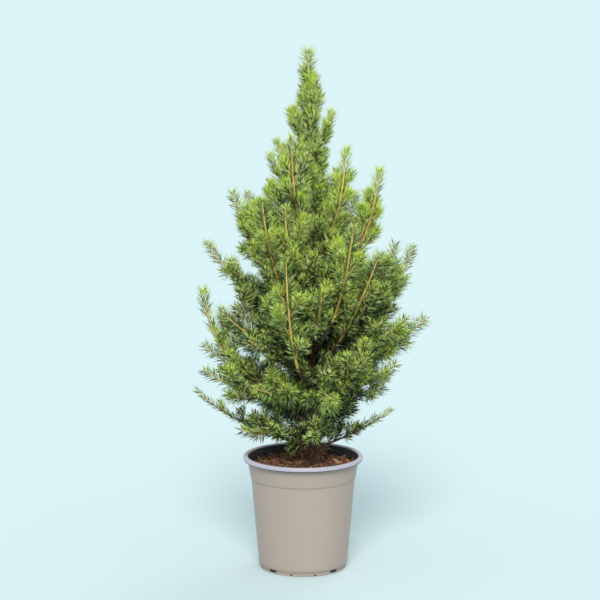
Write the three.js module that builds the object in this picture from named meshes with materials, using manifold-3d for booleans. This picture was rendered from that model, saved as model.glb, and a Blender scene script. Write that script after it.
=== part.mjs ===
// A young Alberta spruce growing in a round plastic nursery pot, in millimetres with +Z up.
// The origin is the middle of the pot's underside. The front of the plant faces -Y, and +X is on the
// right as it is seen from there.
import * as THREE from "three";
import { mergeVertices } from "three/addons/utils/BufferGeometryUtils.js";
import Module from "manifold-3d";

const wasm = await Module();
wasm.setup();

// Driving sizes of the pot
const POT_HEIGHT = 124;
const RIM_RADIUS = 65;
const LIP_WIDTH = 5.2;
const LIP_DEPTH = 5;
const COLLAR_TOP_RADIUS = 60.2;
const COLLAR_FOOT_RADIUS = 57.2;
const COLLAR_FOOT_Z = 100;
const COLLAR_STEP = 0.9;
const WALL = 1.2;
const BASE_RADIUS = 48.2;
const BASE_Z = 5.2;
const FOOT_RADIUS = 46.6;
const FLOOR = 1.5;
const CHANNEL_INNER_RADIUS = 30;
const CHANNEL_OUTER_RADIUS = 41.5;
const CHANNEL_DEPTH = 3;
const POT_SEGMENTS = 30;
const FEET = 4;
const NOTCH_DEG = 13;
const NOTCH_HEIGHT = 4.8;
const DRAIN_SLOT_OFFSET_DEG = 16;
const DRAIN_SLOT_DEG = 4;
const DRAIN_SLOT_HEIGHT = 2.6;

// Driving sizes of the soil and the trunk
const CLEARANCE = 0.3;
const SOIL_TOP = 113;
const SOIL_BUMP = 1.6;
const TRUNK_FOOT = { x: 13, y: 4 };
const TRUNK_LEAN = { x: -7.3, y: -4 };
const TRUNK_SWAY = -4.2;
const TRUNK_TIP_Z = 476;
const CROWN_TOP = 568;
const TRUNK_FOOT_RADIUS = 6;
const TRUNK_TIP_RADIUS = 1.9;
const TRUNK_TAPER = 1.15;
const ROOT_FLARE = 3;
const ROOT_FLARE_HEIGHT = 7;

// Driving sizes of the boughs and the needled shoots
const BARE_LIMB_SHARE = 0.3;
const BARE_STEM_SHARE = 0.17;
const LEADER_FULLNESS = 0.48;
const LIMB_SIDES = 5;
const LIMB_STEP = 14;
const LIMB_RADIUS_PER_LENGTH = 0.015;
const LIMB_LEAST_RADIUS = 1.4;
const STEM_END_RADIUS = 0.9;
const SIDE_SHOOT_RADIUS = 1.3;
const CORE_SIDES = 3;
const ROOT_SHARE = 0.4;
const BARE_ROOT = 4;
const RING_STEP = 19;
const NEEDLE_LENGTH = 13;
const NEEDLE_SPREAD_DEG = 52;
const NEEDLE_TIP_SPREAD_DEG = 38;
const SHOOT_SPACING = 16;
const SHOOT_SPREAD_DEG = 41;
const UPRIGHT_SPREAD_DEG = 28;
const UNDER_SHOOT_SIZE = 0.75;
const SHOOT_LIFT = 0.5;
const SHOOT_SHARE = 0.42;
const SHOOT_FALL = 1.2;
const SHOOT_REACH = 0.62;
const SHOOT_LEAST = 9;
const SHOOT_MOST = 46;
const SHOOT_MARGIN = 0.6;
const SPACE_MARGIN = 1.2;
const LIMB_MARGIN = 1;
const BUD = 3;
const TRAIL_PIECES = 12;
const TINY = 0.05;
const TURN = 2 * Math.PI;
const GOLDEN_TURN = (137.5 / 360) * TURN;
const UP = new THREE.Vector3(0, 0, 1);

// Each bough leaves the trunk at the height foot, and its furthest tip is at the height top, reach from
// the pot's axis, at a bearing counted from +X towards +Y. sweep is how strongly it curves upwards, and
// fullness how long its side shoots are beside those of an even bough. With limb, its bare inner stretch
// is a solid of its own, with fresh its needles are young and light, and with upright its shoots stay
// close to its stem.
const BOUGHS = [
  {
    name: "low_left", foot: 132, bearing: 174, reach: 122, top: 199, sweep: 0.4, fullness: 0.4,
    limb: true, upright: true,
  },
  { name: "left_dense", foot: 160, bearing: 190, reach: 114, top: 224, sweep: 0.1, fullness: 1.6 },
  {
    name: "left_curve", foot: 190, bearing: 185, reach: 108, top: 313, sweep: 0.85, fullness: 0.3,
    limb: true, fresh: true, upright: true,
  },
  { name: "left_mid", foot: 244, bearing: 175, reach: 108, top: 361, sweep: 0.22, fullness: 0.5, limb: true },
  { name: "left_high", foot: 290, bearing: 180, reach: 78, top: 418, sweep: 0.38, fullness: 0.9 },
  { name: "left_high_back", foot: 304, bearing: 146, reach: 75, top: 412, sweep: 0.4, fullness: 1 },
  { name: "left_bright", foot: 268, bearing: 226, reach: 63, top: 413, sweep: 0.6, fullness: 1, fresh: true },
  {
    name: "front_left_slim", foot: 284, bearing: 250, reach: 57, top: 408, sweep: 0.7, fullness: 1,
    fresh: true,
  },
  {
    name: "front_left", foot: 200, bearing: 258, reach: 86, top: 353, sweep: 0.8, fullness: 1,
    limb: true, fresh: true,
  },
  {
    name: "front_centre", foot: 250, bearing: 283, reach: 86, top: 320, sweep: 0.45, fullness: 1.3,
    fresh: true,
  },
  {
    name: "upright_left", foot: 340, bearing: 240, reach: 26, top: 478, sweep: 0.6, fullness: 1,
    upright: true,
  },
  {
    name: "upper_left_a", foot: 360, bearing: 207, reach: 40, top: 430, sweep: 0.5, fullness: 1,
    upright: true,
  },
  {
    name: "upper_left_b", foot: 386, bearing: 172, reach: 37, top: 457, sweep: 0.4, fullness: 0.35,
    upright: true,
  },
  {
    name: "upper_left_c", foot: 410, bearing: 154, reach: 33, top: 471, sweep: 0.4, fullness: 0.6,
    upright: true,
  },
  {
    name: "upper_left_d", foot: 446, bearing: 202, reach: 11, top: 508, sweep: 0.5, fullness: 0.8,
    upright: true,
  },
  {
    name: "upper_right_c", foot: 452, bearing: 315, reach: 18, top: 537, sweep: 0.5, fullness: 0.6,
    upright: true,
  },
  {
    name: "upper_right_a", foot: 446, bearing: 0, reach: 32, top: 503, sweep: 0.5, fullness: 0.45,
    upright: true,
  },
  {
    name: "upper_right_b", foot: 410, bearing: 28, reach: 29, top: 462, sweep: 0.4, fullness: 0.5,
    upright: true,
  },
  {
    name: "right_spire", foot: 330, bearing: 345, reach: 48, top: 464, sweep: 0.65, fullness: 0.6,
    fresh: true, upright: true,
  },
  {
    name: "right_dark", foot: 324, bearing: 36, reach: 73, top: 411, sweep: 0.4, fullness: 0.55,
    upright: true,
  },
  {
    name: "right_tall", foot: 294, bearing: 6, reach: 83, top: 440, sweep: 0.67, fullness: 0.75,
    fresh: true, upright: true,
  },
  {
    name: "front_right", foot: 236, bearing: 310, reach: 82, top: 386, sweep: 0.5, fullness: 1,
    limb: true, fresh: true,
  },
  {
    name: "right_slant", foot: 206, bearing: 330, reach: 95, top: 357, sweep: 0.2, fullness: 1,
    limb: true, fresh: true,
  },
  {
    name: "right_outer", foot: 213, bearing: 12, reach: 123, top: 356, sweep: 0.5, fullness: 0.75,
    limb: true,
  },
  {
    name: "right_long", foot: 190, bearing: 0, reach: 136, top: 279, sweep: 0.2, fullness: 1,
    limb: true, fresh: true,
  },
  { name: "right_dense", foot: 174, bearing: 353, reach: 106, top: 231, sweep: 0.15, fullness: 1.5 },
  { name: "right_low", foot: 144, bearing: 24, reach: 64, top: 190, sweep: 0.2, fullness: 1.2 },
  {
    name: "low_right", foot: 131, bearing: 4, reach: 101, top: 178, sweep: 0.3, fullness: 0.4,
    upright: true,
  },
  {
    name: "front_right_mid", foot: 184, bearing: 316, reach: 99, top: 250, sweep: 0.3, fullness: 1.3,
    fresh: true,
  },
  {
    name: "front_arch", foot: 166, bearing: 292, reach: 92, top: 203, sweep: -0.3, fullness: 1.3,
    fresh: true,
  },
  {
    name: "front_left_low", foot: 172, bearing: 228, reach: 82, top: 210, sweep: -0.1, fullness: 1.3,
    fresh: true,
  },
  { name: "front_left_mid", foot: 218, bearing: 222, reach: 84, top: 264, sweep: 0.2, fullness: 1.3 },
  { name: "front_low", foot: 137, bearing: 280, reach: 64, top: 158, sweep: -0.2, fullness: 1.2 },
  { name: "front_spray", foot: 204, bearing: 289, reach: 92, top: 229, sweep: 0, fullness: 1 },
  { name: "back_low_left", foot: 150, bearing: 133, reach: 106, top: 214, sweep: 0.25, fullness: 1.3 },
  { name: "back_low", foot: 164, bearing: 96, reach: 110, top: 226, sweep: 0.3, fullness: 1.3 },
  { name: "back_low_right", foot: 164, bearing: 55, reach: 106, top: 220, sweep: 0.25, fullness: 1.3 },
  { name: "back_mid_left", foot: 214, bearing: 128, reach: 100, top: 296, sweep: 0.4, fullness: 1.3 },
  { name: "back_mid", foot: 228, bearing: 86, reach: 108, top: 325, sweep: 0.45, fullness: 1.3 },
  { name: "back_mid_right", foot: 222, bearing: 44, reach: 110, top: 318, sweep: 0.4, fullness: 1.3 },
  { name: "back_high_left", foot: 280, bearing: 112, reach: 74, top: 390, sweep: 0.45, fullness: 1 },
  { name: "back_high", foot: 308, bearing: 74, reach: 64, top: 420, sweep: 0.5, fullness: 0.8 },
  { name: "back_spire", foot: 366, bearing: 92, reach: 36, top: 466, sweep: 0.5, fullness: 0.5 },
  { name: "left_full", foot: 178, bearing: 164, reach: 117, top: 244, sweep: 0.3, fullness: 1.5 },
  { name: "left_inner", foot: 230, bearing: 198, reach: 97, top: 295, sweep: 0.4, fullness: 1.4 },
  { name: "left_skirt", foot: 143, bearing: 202, reach: 80, top: 158, sweep: 0, fullness: 1.2 },
  { name: "right_upper", foot: 256, bearing: 350, reach: 101, top: 364, sweep: 0.55, fullness: 1.1 },
  { name: "right_full", foot: 222, bearing: 350, reach: 117, top: 283, sweep: 0.3, fullness: 1.5 },
];

// Colours and finishes
const POT_PLASTIC = { color: 0xb1a597, roughness: 0.5, metalness: 0 };
const SOIL = { color: 0x3b2417, roughness: 0.95, metalness: 0 };
const BARK = { color: 0x6a4a33, roughness: 0.85, metalness: 0 };
const YOUNG_BARK = { color: 0xb08a5a, roughness: 0.75, metalness: 0 };
const NEEDLES = { color: 0x4a7030, roughness: 0.55, metalness: 0 };
const FRESH_NEEDLES = { color: 0x86a83c, roughness: 0.55, metalness: 0 };

const radians = (degrees) => THREE.MathUtils.degToRad(degrees);
const mix = (a, b, share) => a + (b - a) * share;

// A repeatable row of numbers from 0 to 1
function seededNumbers(seed) {
  const MODULUS = 2147483647;
  let state = (seed * 7919 + 104729) % MODULUS;
  return () => {
    state = (state * 16807) % MODULUS;
    return state / MODULUS;
  };
}

// Turns a closed geometry into a solid that can be cut and joined
function toSolid(geometry) {
  const bare = new THREE.BufferGeometry();
  bare.setAttribute("position", geometry.getAttribute("position"));
  if (geometry.index) bare.setIndex(geometry.index);
  const merged = mergeVertices(bare, 1e-4);
  const triangles = [];
  for (let i = 0; i < merged.index.count; i += 3) {
    const [a, b, c] = [merged.index.getX(i), merged.index.getX(i + 1), merged.index.getX(i + 2)];
    if (a !== b && b !== c && c !== a) triangles.push(a, b, c);
  }
  const vertProperties = new Float32Array(merged.getAttribute("position").array);
  const triVerts = new Uint32Array(triangles);
  return new wasm.Manifold(new wasm.Mesh({ numProp: 3, vertProperties, triVerts }));
}

// Turns a solid back into a geometry, keeping its largest body
function toGeometry(solid) {
  const bodies = solid.decompose().sort((a, b) => b.volume() - a.volume());
  const mesh = bodies[0].getMesh();
  const positions = new Float32Array(mesh.numVert * 3);
  for (let i = 0; i < mesh.numVert; i++) {
    positions.set(mesh.vertProperties.subarray(i * mesh.numProp, i * mesh.numProp + 3), i * 3);
  }
  const geometry = new THREE.BufferGeometry();
  geometry.setAttribute("position", new THREE.BufferAttribute(positions, 3));
  geometry.setIndex(new THREE.BufferAttribute(new Uint32Array(mesh.triVerts), 1));
  geometry.computeVertexNormals();
  return geometry;
}

function namedMesh(name, geometry, finish) {
  const mesh = new THREE.Mesh(geometry, new THREE.MeshStandardMaterial(finish));
  mesh.name = name;
  return mesh;
}

// A solid of revolution about +Z from [radius, height] pairs
function turned(profile, segments) {
  const points = profile.map(([radius, height]) => new THREE.Vector2(radius, height));
  return new THREE.LatheGeometry(points, segments).rotateX(Math.PI / 2);
}

// The part of a ring between two radii, up to a height, centred on a bearing
function ringSector(innerRadius, outerRadius, bottom, top, bearingDeg, widthDeg) {
  const shape = new THREE.Shape();
  const start = radians(bearingDeg - widthDeg / 2);
  const end = radians(bearingDeg + widthDeg / 2);
  shape.moveTo(innerRadius * Math.cos(start), innerRadius * Math.sin(start));
  shape.lineTo(outerRadius * Math.cos(start), outerRadius * Math.sin(start));
  shape.lineTo(outerRadius * Math.cos(end), outerRadius * Math.sin(end));
  shape.lineTo(innerRadius * Math.cos(end), innerRadius * Math.sin(end));
  shape.closePath();
  const geometry = new THREE.ExtrudeGeometry(shape, { depth: top - bottom, bevelEnabled: false });
  return geometry.translate(0, 0, bottom);
}

// The pot: a tapered wall under a plain collar and a rolled lip, on a foot ring with notches and slots
function makePot() {
  const lipFoot = POT_HEIGHT - LIP_DEPTH;
  const lipInner = RIM_RADIUS - LIP_WIDTH;
  const bodyTopRadius = COLLAR_FOOT_RADIUS - COLLAR_STEP;
  const profile = [
    [0, 0],
    [CHANNEL_INNER_RADIUS, 0],
    [CHANNEL_INNER_RADIUS + 1.5, CHANNEL_DEPTH],
    [CHANNEL_OUTER_RADIUS - 1.5, CHANNEL_DEPTH],
    [CHANNEL_OUTER_RADIUS, 0],
    [FOOT_RADIUS, 0],
    [FOOT_RADIUS, BASE_Z - 1],
    [BASE_RADIUS, BASE_Z],
    [bodyTopRadius, COLLAR_FOOT_Z - 0.6],
    [COLLAR_FOOT_RADIUS, COLLAR_FOOT_Z],
    [COLLAR_TOP_RADIUS, lipFoot],
    [RIM_RADIUS - 0.9, lipFoot + 0.3],
    [RIM_RADIUS, lipFoot + 1.8],
    [RIM_RADIUS - 0.3, POT_HEIGHT - 1.2],
    [RIM_RADIUS - 2, POT_HEIGHT],
    [lipInner + 0.8, POT_HEIGHT - 0.3],
    [lipInner, POT_HEIGHT - 1.4],
    [COLLAR_TOP_RADIUS - WALL, lipFoot],
    [bodyTopRadius - WALL, COLLAR_FOOT_Z - 1],
    [BASE_RADIUS - WALL, BASE_Z + 1.6],
    [FOOT_RADIUS - WALL - 0.2, BASE_Z],
    [FOOT_RADIUS - WALL - 0.4, FLOOR],
    [CHANNEL_OUTER_RADIUS + 0.5, FLOOR],
    [CHANNEL_OUTER_RADIUS - 1, CHANNEL_DEPTH + FLOOR],
    [CHANNEL_INNER_RADIUS + 1, CHANNEL_DEPTH + FLOOR],
    [CHANNEL_INNER_RADIUS - 0.5, FLOOR],
    [0, FLOOR],
  ];
  let pot = toSolid(turned(profile, POT_SEGMENTS));
  for (let foot = 0; foot < FEET; foot++) {
    const footBearing = (foot * 360) / FEET;
    const notchBearing = footBearing + 180 / FEET;
    const notch = ringSector(CHANNEL_OUTER_RADIUS + 1, 52, -1, NOTCH_HEIGHT, notchBearing, NOTCH_DEG);
    pot = pot.subtract(toSolid(notch));
    for (const side of [-1, 1]) {
      const bearing = footBearing + side * DRAIN_SLOT_OFFSET_DEG;
      const slot = ringSector(FOOT_RADIUS - 3, 52, -1, DRAIN_SLOT_HEIGHT, bearing, DRAIN_SLOT_DEG);
      pot = pot.subtract(toSolid(slot));
    }
  }
  return namedMesh("pot", toGeometry(pot), POT_PLASTIC);
}

// The surface of the soil: flat round the trunk's foot, lumpy elsewhere
function soilHeight(x, y) {
  const FLAT_RADIUS = 21;
  const FADE = 8;
  const away = Math.hypot(x - TRUNK_FOOT.x, y - TRUNK_FOOT.y);
  const share = THREE.MathUtils.smoothstep(away, FLAT_RADIUS, FLAT_RADIUS + FADE);
  const lumps = Math.sin(x * 0.31 + 1) * Math.cos(y * 0.27) + 0.6 * Math.sin(x * 0.11 - y * 0.17);
  const slump = 1.2 * (Math.hypot(x, y) / COLLAR_TOP_RADIUS) ** 2;
  return SOIL_TOP + share * (SOIL_BUMP * 0.6 * lumps - slump);
}

// The soil fills the pot to a centimetre under the rim
function makeSoil() {
  const RINGS = 4;
  const LOWEST_LUMP = 3;
  const bodyTopRadius = COLLAR_FOOT_RADIUS - COLLAR_STEP;
  const bodyShare = (z) => (z - BASE_Z) / (COLLAR_FOOT_Z - BASE_Z);
  const side = (z) => mix(BASE_RADIUS, bodyTopRadius, bodyShare(z)) - WALL - CLEARANCE - 0.2;
  const collarShare = (SOIL_TOP - LOWEST_LUMP - COLLAR_FOOT_Z) / (POT_HEIGHT - LIP_DEPTH - COLLAR_FOOT_Z);
  const topRadius = mix(bodyTopRadius, COLLAR_TOP_RADIUS, collarShare) - WALL - CLEARANCE;
  const floor = FLOOR + CLEARANCE;
  const profile = [
    [0, floor],
    [CHANNEL_INNER_RADIUS - 0.8, floor],
    [CHANNEL_INNER_RADIUS + 0.5, CHANNEL_DEPTH + floor],
    [CHANNEL_OUTER_RADIUS - 0.6, CHANNEL_DEPTH + floor],
    [CHANNEL_OUTER_RADIUS + 0.9, floor],
    [FOOT_RADIUS - WALL - 0.9, floor],
    [FOOT_RADIUS - WALL - 0.7, BASE_Z + 0.4],
    [side(BASE_Z + 2.4), BASE_Z + 2.4],
    [side(COLLAR_FOOT_Z - 2), COLLAR_FOOT_Z - 2],
  ];
  for (let ring = RINGS; ring >= 1; ring--) profile.push([(topRadius * ring) / RINGS, SOIL_TOP]);
  profile.push([0, SOIL_TOP]);
  const geometry = turned(profile, POT_SEGMENTS);
  const position = geometry.getAttribute("position");
  for (let i = 0; i < position.count; i++) {
    if (position.getZ(i) < SOIL_TOP - 1) continue;
    position.setZ(i, soilHeight(position.getX(i), position.getY(i)));
  }
  return namedMesh("soil", toGeometry(toSolid(geometry)), SOIL);
}

// The middle of the trunk at a height: it leans to the left and sways once
function trunkCentre(z) {
  const share = (z - SOIL_TOP) / (CROWN_TOP - SOIL_TOP);
  const sway = TRUNK_SWAY * Math.sin(Math.PI * share) ** 2;
  return new THREE.Vector3(
    TRUNK_FOOT.x + TRUNK_LEAN.x * share + sway,
    TRUNK_FOOT.y + TRUNK_LEAN.y * share,
    z,
  );
}

function trunkRadius(z) {
  const share = Math.min(1, (z - SOIL_TOP) / (TRUNK_TIP_Z - SOIL_TOP));
  const taper = (TRUNK_FOOT_RADIUS - TRUNK_TIP_RADIUS) * (1 - share) ** TRUNK_TAPER;
  return TRUNK_TIP_RADIUS + taper + ROOT_FLARE * Math.exp(-(z - SOIL_TOP) / ROOT_FLARE_HEIGHT);
}

// A closed geometry from rings of points, each ring running anticlockwise as seen from the far end
function ringsToGeometry(rings) {
  const sides = rings[0].length;
  const positions = rings.flat().flatMap((point) => point.toArray());
  const index = [];
  for (let ring = 0; ring + 1 < rings.length; ring++) {
    for (let side = 0; side < sides; side++) {
      const next = (side + 1) % sides;
      const [a, b] = [ring * sides + side, ring * sides + next];
      index.push(a, b, b + sides, a, b + sides, a + sides);
    }
  }
  const last = (rings.length - 1) * sides;
  for (let side = 1; side + 1 < sides; side++) {
    index.push(0, side + 1, side);
    index.push(last, last + side, last + side + 1);
  }
  const geometry = new THREE.BufferGeometry();
  geometry.setAttribute("position", new THREE.Float32BufferAttribute(positions, 3));
  geometry.setIndex(index);
  return geometry;
}

function makeTrunk() {
  const SIDES = 8;
  const bottom = SOIL_TOP + CLEARANCE;
  const heights = [bottom, bottom + 3, bottom + 8, bottom + 16];
  for (let z = bottom + 34; z < TRUNK_TIP_Z; z += 32) heights.push(z);
  heights.push(TRUNK_TIP_Z);
  const rings = heights.map((z) => {
    const centre = trunkCentre(z);
    const radius = trunkRadius(z);
    return Array.from({ length: SIDES }, (_, side) => {
      const angle = (side * TURN) / SIDES;
      return new THREE.Vector3(radius * Math.cos(angle), radius * Math.sin(angle), 0).add(centre);
    });
  });
  return namedMesh("trunk", toGeometry(toSolid(ringsToGeometry(rings))), BARK);
}

// The line that a bough follows, from the trunk's middle to its tip
function boughCurve(bough) {
  const start = trunkCentre(bough.foot);
  const bearing = radians(bough.bearing);
  const end = new THREE.Vector3(Math.cos(bearing), Math.sin(bearing), 0).multiplyScalar(bough.reach);
  end.setZ(bough.top);
  const corner = new THREE.Vector3(end.x, end.y, start.z);
  const bend = start.clone().add(end).multiplyScalar(0.5).lerp(corner, bough.sweep);
  return new THREE.QuadraticBezierCurve3(start, bend, end);
}

// The leader carries on from the trunk's tip to the top of the crown
function leaderCurve() {
  const bend = trunkCentre((TRUNK_TIP_Z + CROWN_TOP) / 2);
  return new THREE.QuadraticBezierCurve3(trunkCentre(TRUNK_TIP_Z), bend, trunkCentre(CROWN_TOP));
}

// The radius of a bough at a share of its length
function boughRadius(plan, share) {
  const foot = Math.max(LIMB_LEAST_RADIUS, plan.length * LIMB_RADIUS_PER_LENGTH);
  return mix(foot, STEM_END_RADIUS, share);
}

// A ring of points round a curve, square to it
function ringAround(curve, share, radius, sides) {
  const centre = curve.getPointAt(share);
  const along = curve.getTangentAt(share);
  const across = new THREE.Vector3().crossVectors(along, UP).normalize();
  const above = new THREE.Vector3().crossVectors(across, along);
  return Array.from({ length: sides }, (_, side) => {
    const angle = (side * TURN) / sides;
    const out = across.clone().multiplyScalar(Math.cos(angle)).addScaledVector(above, -Math.sin(angle));
    return centre.clone().addScaledVector(out, radius);
  });
}

function curveTrail(curve, from, pieces) {
  return Array.from({ length: pieces + 1 }, (_, i) => curve.getPointAt(mix(from, 1, i / pieces)));
}

// The share of a bough's length at which it comes clear of the trunk
function findSeat(plan) {
  const STEP = 0.001;
  const fromBark = (point) => point.distanceTo(trunkCentre(point.z)) - trunkRadius(point.z);
  let seat = 0;
  let gap = 0;
  while (gap < CLEARANCE) {
    seat += STEP;
    const ring = ringAround(plan.curve, seat, boughRadius(plan, seat), plan.limb ? LIMB_SIDES : CORE_SIDES);
    gap = Math.min(...ring.map(fromBark));
  }
  return seat;
}

// Everything the rules need to know of a bough: its curve, its length and where its parts begin
function planBough(bough, number) {
  const curve = boughCurve(bough);
  const plan = { ...bough, number, curve, length: curve.getLength() };
  plan.seat = findSeat(plan);
  plan.bare = Math.max(plan.seat, bough.limb ? BARE_LIMB_SHARE : BARE_STEM_SHARE);
  plan.start = bough.limb ? plan.bare : plan.seat;
  plan.trail = curveTrail(curve, plan.seat, TRAIL_PIECES);
  return plan;
}

function planLeader() {
  const curve = leaderCurve();
  const length = curve.getLength();
  const start = CLEARANCE / length;
  const trail = curveTrail(curve, 0, TRAIL_PIECES);
  const habit = { number: BOUGHS.length, fullness: LEADER_FULLNESS, fresh: true, upright: true };
  return { name: "leader", ...habit, curve, length, start, bare: start, trail };
}

const plans = [...BOUGHS.map(planBough), planLeader()];

function distanceToSegment(point, from, to) {
  const line = new THREE.Line3(from, to);
  return line.closestPointToPoint(point, true, new THREE.Vector3()).distanceTo(point);
}

function distanceToTrail(point, trail) {
  let least = Infinity;
  for (let i = 0; i + 1 < trail.length; i++) {
    least = Math.min(least, distanceToSegment(point, trail[i], trail[i + 1]));
  }
  return least;
}

// Whether a point may hold foliage of a bough: nearer to it than to any other bough, clear of the
// trunk and the limbs, and over the pot
function inOwnSpace(point, plan) {
  const soilUnder = Math.hypot(point.x, point.y) < COLLAR_TOP_RADIUS - 6;
  if (point.z < (soilUnder ? SOIL_TOP + 3 : POT_HEIGHT + 2)) return false;
  if (point.z < TRUNK_TIP_Z + 1) {
    const fromTrunk = point.distanceTo(trunkCentre(point.z));
    if (fromTrunk < trunkRadius(point.z) + LIMB_MARGIN) return false;
  }
  const own = distanceToTrail(point, plan.trail);
  for (const other of plans) {
    if (other === plan) continue;
    const keepAway = Math.max(own + SPACE_MARGIN, boughRadius(other, 0) + LIMB_MARGIN);
    const outOfReach = point.distanceTo(other.trail[TRAIL_PIECES / 2]) - other.length > keepAway;
    if (outOfReach) continue;
    if (distanceToTrail(point, other.trail) < keepAway) return false;
  }
  return true;
}

// Whether a point is nearer to its own shoot than to the other shoots of the same mass
function onOwnShoot(point, trail, siblings) {
  const own = distanceToTrail(point, trail) + SHOOT_MARGIN;
  return siblings.every((sibling) => sibling === trail || distanceToTrail(point, sibling) > own);
}

// The rings of a shoot's three-sided core, turned by turns, as far as it stays in its own space
function shootRings(shoot, plan) {
  const { curve, from, rootRadius, startRadius } = shoot;
  const length = curve.getLength() * (1 - from);
  const count = 1 + Math.max(1, Math.round((length - BARE_ROOT) / RING_STEP));
  const step = (length - BARE_ROOT) / (count - 0.5);
  const across = new THREE.Vector3().crossVectors(curve.getTangentAt(from), UP).normalize();
  const rings = [];
  for (let k = 0; k <= count; k++) {
    const share = mix(from, 1, k === 0 ? 0 : (BARE_ROOT + (k - 1) * step) / length);
    const centre = curve.getPointAt(share);
    const along = curve.getTangentAt(share);
    across.addScaledVector(along, -across.dot(along)).normalize();
    const above = new THREE.Vector3().crossVectors(along, across);
    const radius = k === 0 ? rootRadius : mix(startRadius, STEM_END_RADIUS, k / count);
    const points = Array.from({ length: CORE_SIDES }, (_, side) => {
      const angle = ((side + (k % 2) / 2) * TURN) / CORE_SIDES;
      const out = across.clone().multiplyScalar(Math.cos(angle)).addScaledVector(above, Math.sin(angle));
      return centre.clone().addScaledVector(out, radius);
    });
    if (k > 0 && !points.every((point) => inOwnSpace(point, plan))) break;
    const spread = radians(mix(NEEDLE_SPREAD_DEG, NEEDLE_TIP_SPREAD_DEG, (k / count) ** 2));
    rings.push({ centre, along, points, spread });
  }
  const last = rings[rings.length - 1];
  const reached = rings.length > count;
  last.tip = reached ? curve.getPointAt(1) : last.centre.clone().addScaledVector(last.along, BUD);
  return rings;
}

// The tip of the needle that a face of the core would carry
function needleTip(face, share, here, next, random) {
  const foot = face[0].clone().add(face[1]).add(face[2]).divideScalar(3);
  const middle = here.centre.clone().lerp(next.centre, share);
  const direction = foot.clone().sub(middle).normalize().multiplyScalar(Math.sin(here.spread));
  direction.addScaledVector(here.along, Math.cos(here.spread));
  const tip = foot.clone().addScaledVector(direction, NEEDLE_LENGTH * mix(0.88, 1.08, random()));
  return { tip, half: foot.lerp(tip, 0.5) };
}

// A needled shoot along a curve: a slim core, with a needle drawn out of each face that has room for it
function shootSolid(shoot, siblings, plan, random) {
  const rings = shootRings(shoot, plan);
  if (rings.length < 3) return null;
  const hasRoom = (point) => inOwnSpace(point, plan) && onOwnShoot(point, shoot.trail, siblings);
  const triangles = [rings[0].points.toReversed()];
  for (let k = 0; k + 1 < rings.length; k++) {
    const [here, next] = [rings[k], rings[k + 1]];
    for (let side = 0; side < CORE_SIDES; side++) {
      const after = (side + 1) % CORE_SIDES;
      const [a, b] = [here.points[side], here.points[after]];
      const [c, d] = [next.points[side], next.points[after]];
      const near = k % 2 ? [a, b, d] : [a, b, c];
      const far = k % 2 ? [a, d, c] : [b, d, c];
      for (const [face, share] of [[near, 1 / 3], [far, 2 / 3]]) {
        const { tip, half } = needleTip(face, share, here, next, random);
        if (k > 0 && hasRoom(tip) && hasRoom(half)) {
          for (let i = 0; i < 3; i++) triangles.push([face[i], face[(i + 1) % 3], tip]);
        } else {
          triangles.push(face);
        }
      }
    }
  }
  const last = rings[rings.length - 1];
  for (let side = 0; side < CORE_SIDES; side++) {
    triangles.push([last.points[side], last.points[(side + 1) % CORE_SIDES], last.tip]);
  }
  const positions = triangles.flat().flatMap((point) => point.toArray());
  const geometry = new THREE.BufferGeometry();
  geometry.setAttribute("position", new THREE.Float32BufferAttribute(positions, 3));
  return toSolid(geometry);
}

// The side shoots of a bough: they leave it all round, longest near the trunk, and curve upwards
function sideShoots(plan) {
  const random = seededNumbers(plan.number + 1);
  const leafyLength = plan.length * (1 - plan.bare);
  const count = Math.max(1, Math.round(leafyLength / SHOOT_SPACING));
  return Array.from({ length: count }, (_, i) => {
    const outward = (SHOOT_REACH * (i + 0.4)) / count;
    const share = mix(plan.bare, 1, outward);
    const root = plan.curve.getPointAt(share);
    const along = plan.curve.getTangentAt(share);
    const across = new THREE.Vector3().crossVectors(along, UP).normalize();
    const above = new THREE.Vector3().crossVectors(across, along);
    const roll = i * GOLDEN_TURN + plan.number;
    const widest = plan.upright ? UPRIGHT_SPREAD_DEG : SHOOT_SPREAD_DEG;
    const spread = radians(widest + 12 * (random() - 0.5));
    const out = across.multiplyScalar(Math.cos(roll)).addScaledVector(above, Math.sin(roll));
    const direction = along.clone().multiplyScalar(Math.cos(spread)).addScaledVector(out, Math.sin(spread));
    const full = Math.min(SHOOT_SHARE * leafyLength * (1 - outward) ** SHOOT_FALL + SHOOT_LEAST, SHOOT_MOST);
    const size = (Math.sin(roll) < -0.3 ? UNDER_SHOOT_SIZE : 1) * plan.fullness * mix(0.85, 1.1, random());
    const length = full * size;
    const end = root.clone().addScaledVector(direction, length).addScaledVector(UP, SHOOT_LIFT * length);
    const bend = root.clone().addScaledVector(direction, length * 0.5);
    const curve = new THREE.QuadraticBezierCurve3(root, bend, end);
    const rootRadius = ROOT_SHARE * boughRadius(plan, share);
    return { curve, from: 0, rootRadius, startRadius: SIDE_SHOOT_RADIUS, trail: curveTrail(curve, 0, 4) };
  });
}

// The bare inner stretch of a bough, from the trunk to its foliage
function makeLimb(plan) {
  const steps = Math.max(3, Math.round((plan.length * (plan.start - plan.seat)) / LIMB_STEP));
  const rings = Array.from({ length: steps + 1 }, (_, k) => {
    const share = mix(plan.seat, plan.start, k / steps);
    return ringAround(plan.curve, share, boughRadius(plan, share), LIMB_SIDES);
  });
  return namedMesh(plan.name + "_bough", toGeometry(toSolid(ringsToGeometry(rings))), YOUNG_BARK);
}

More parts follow.
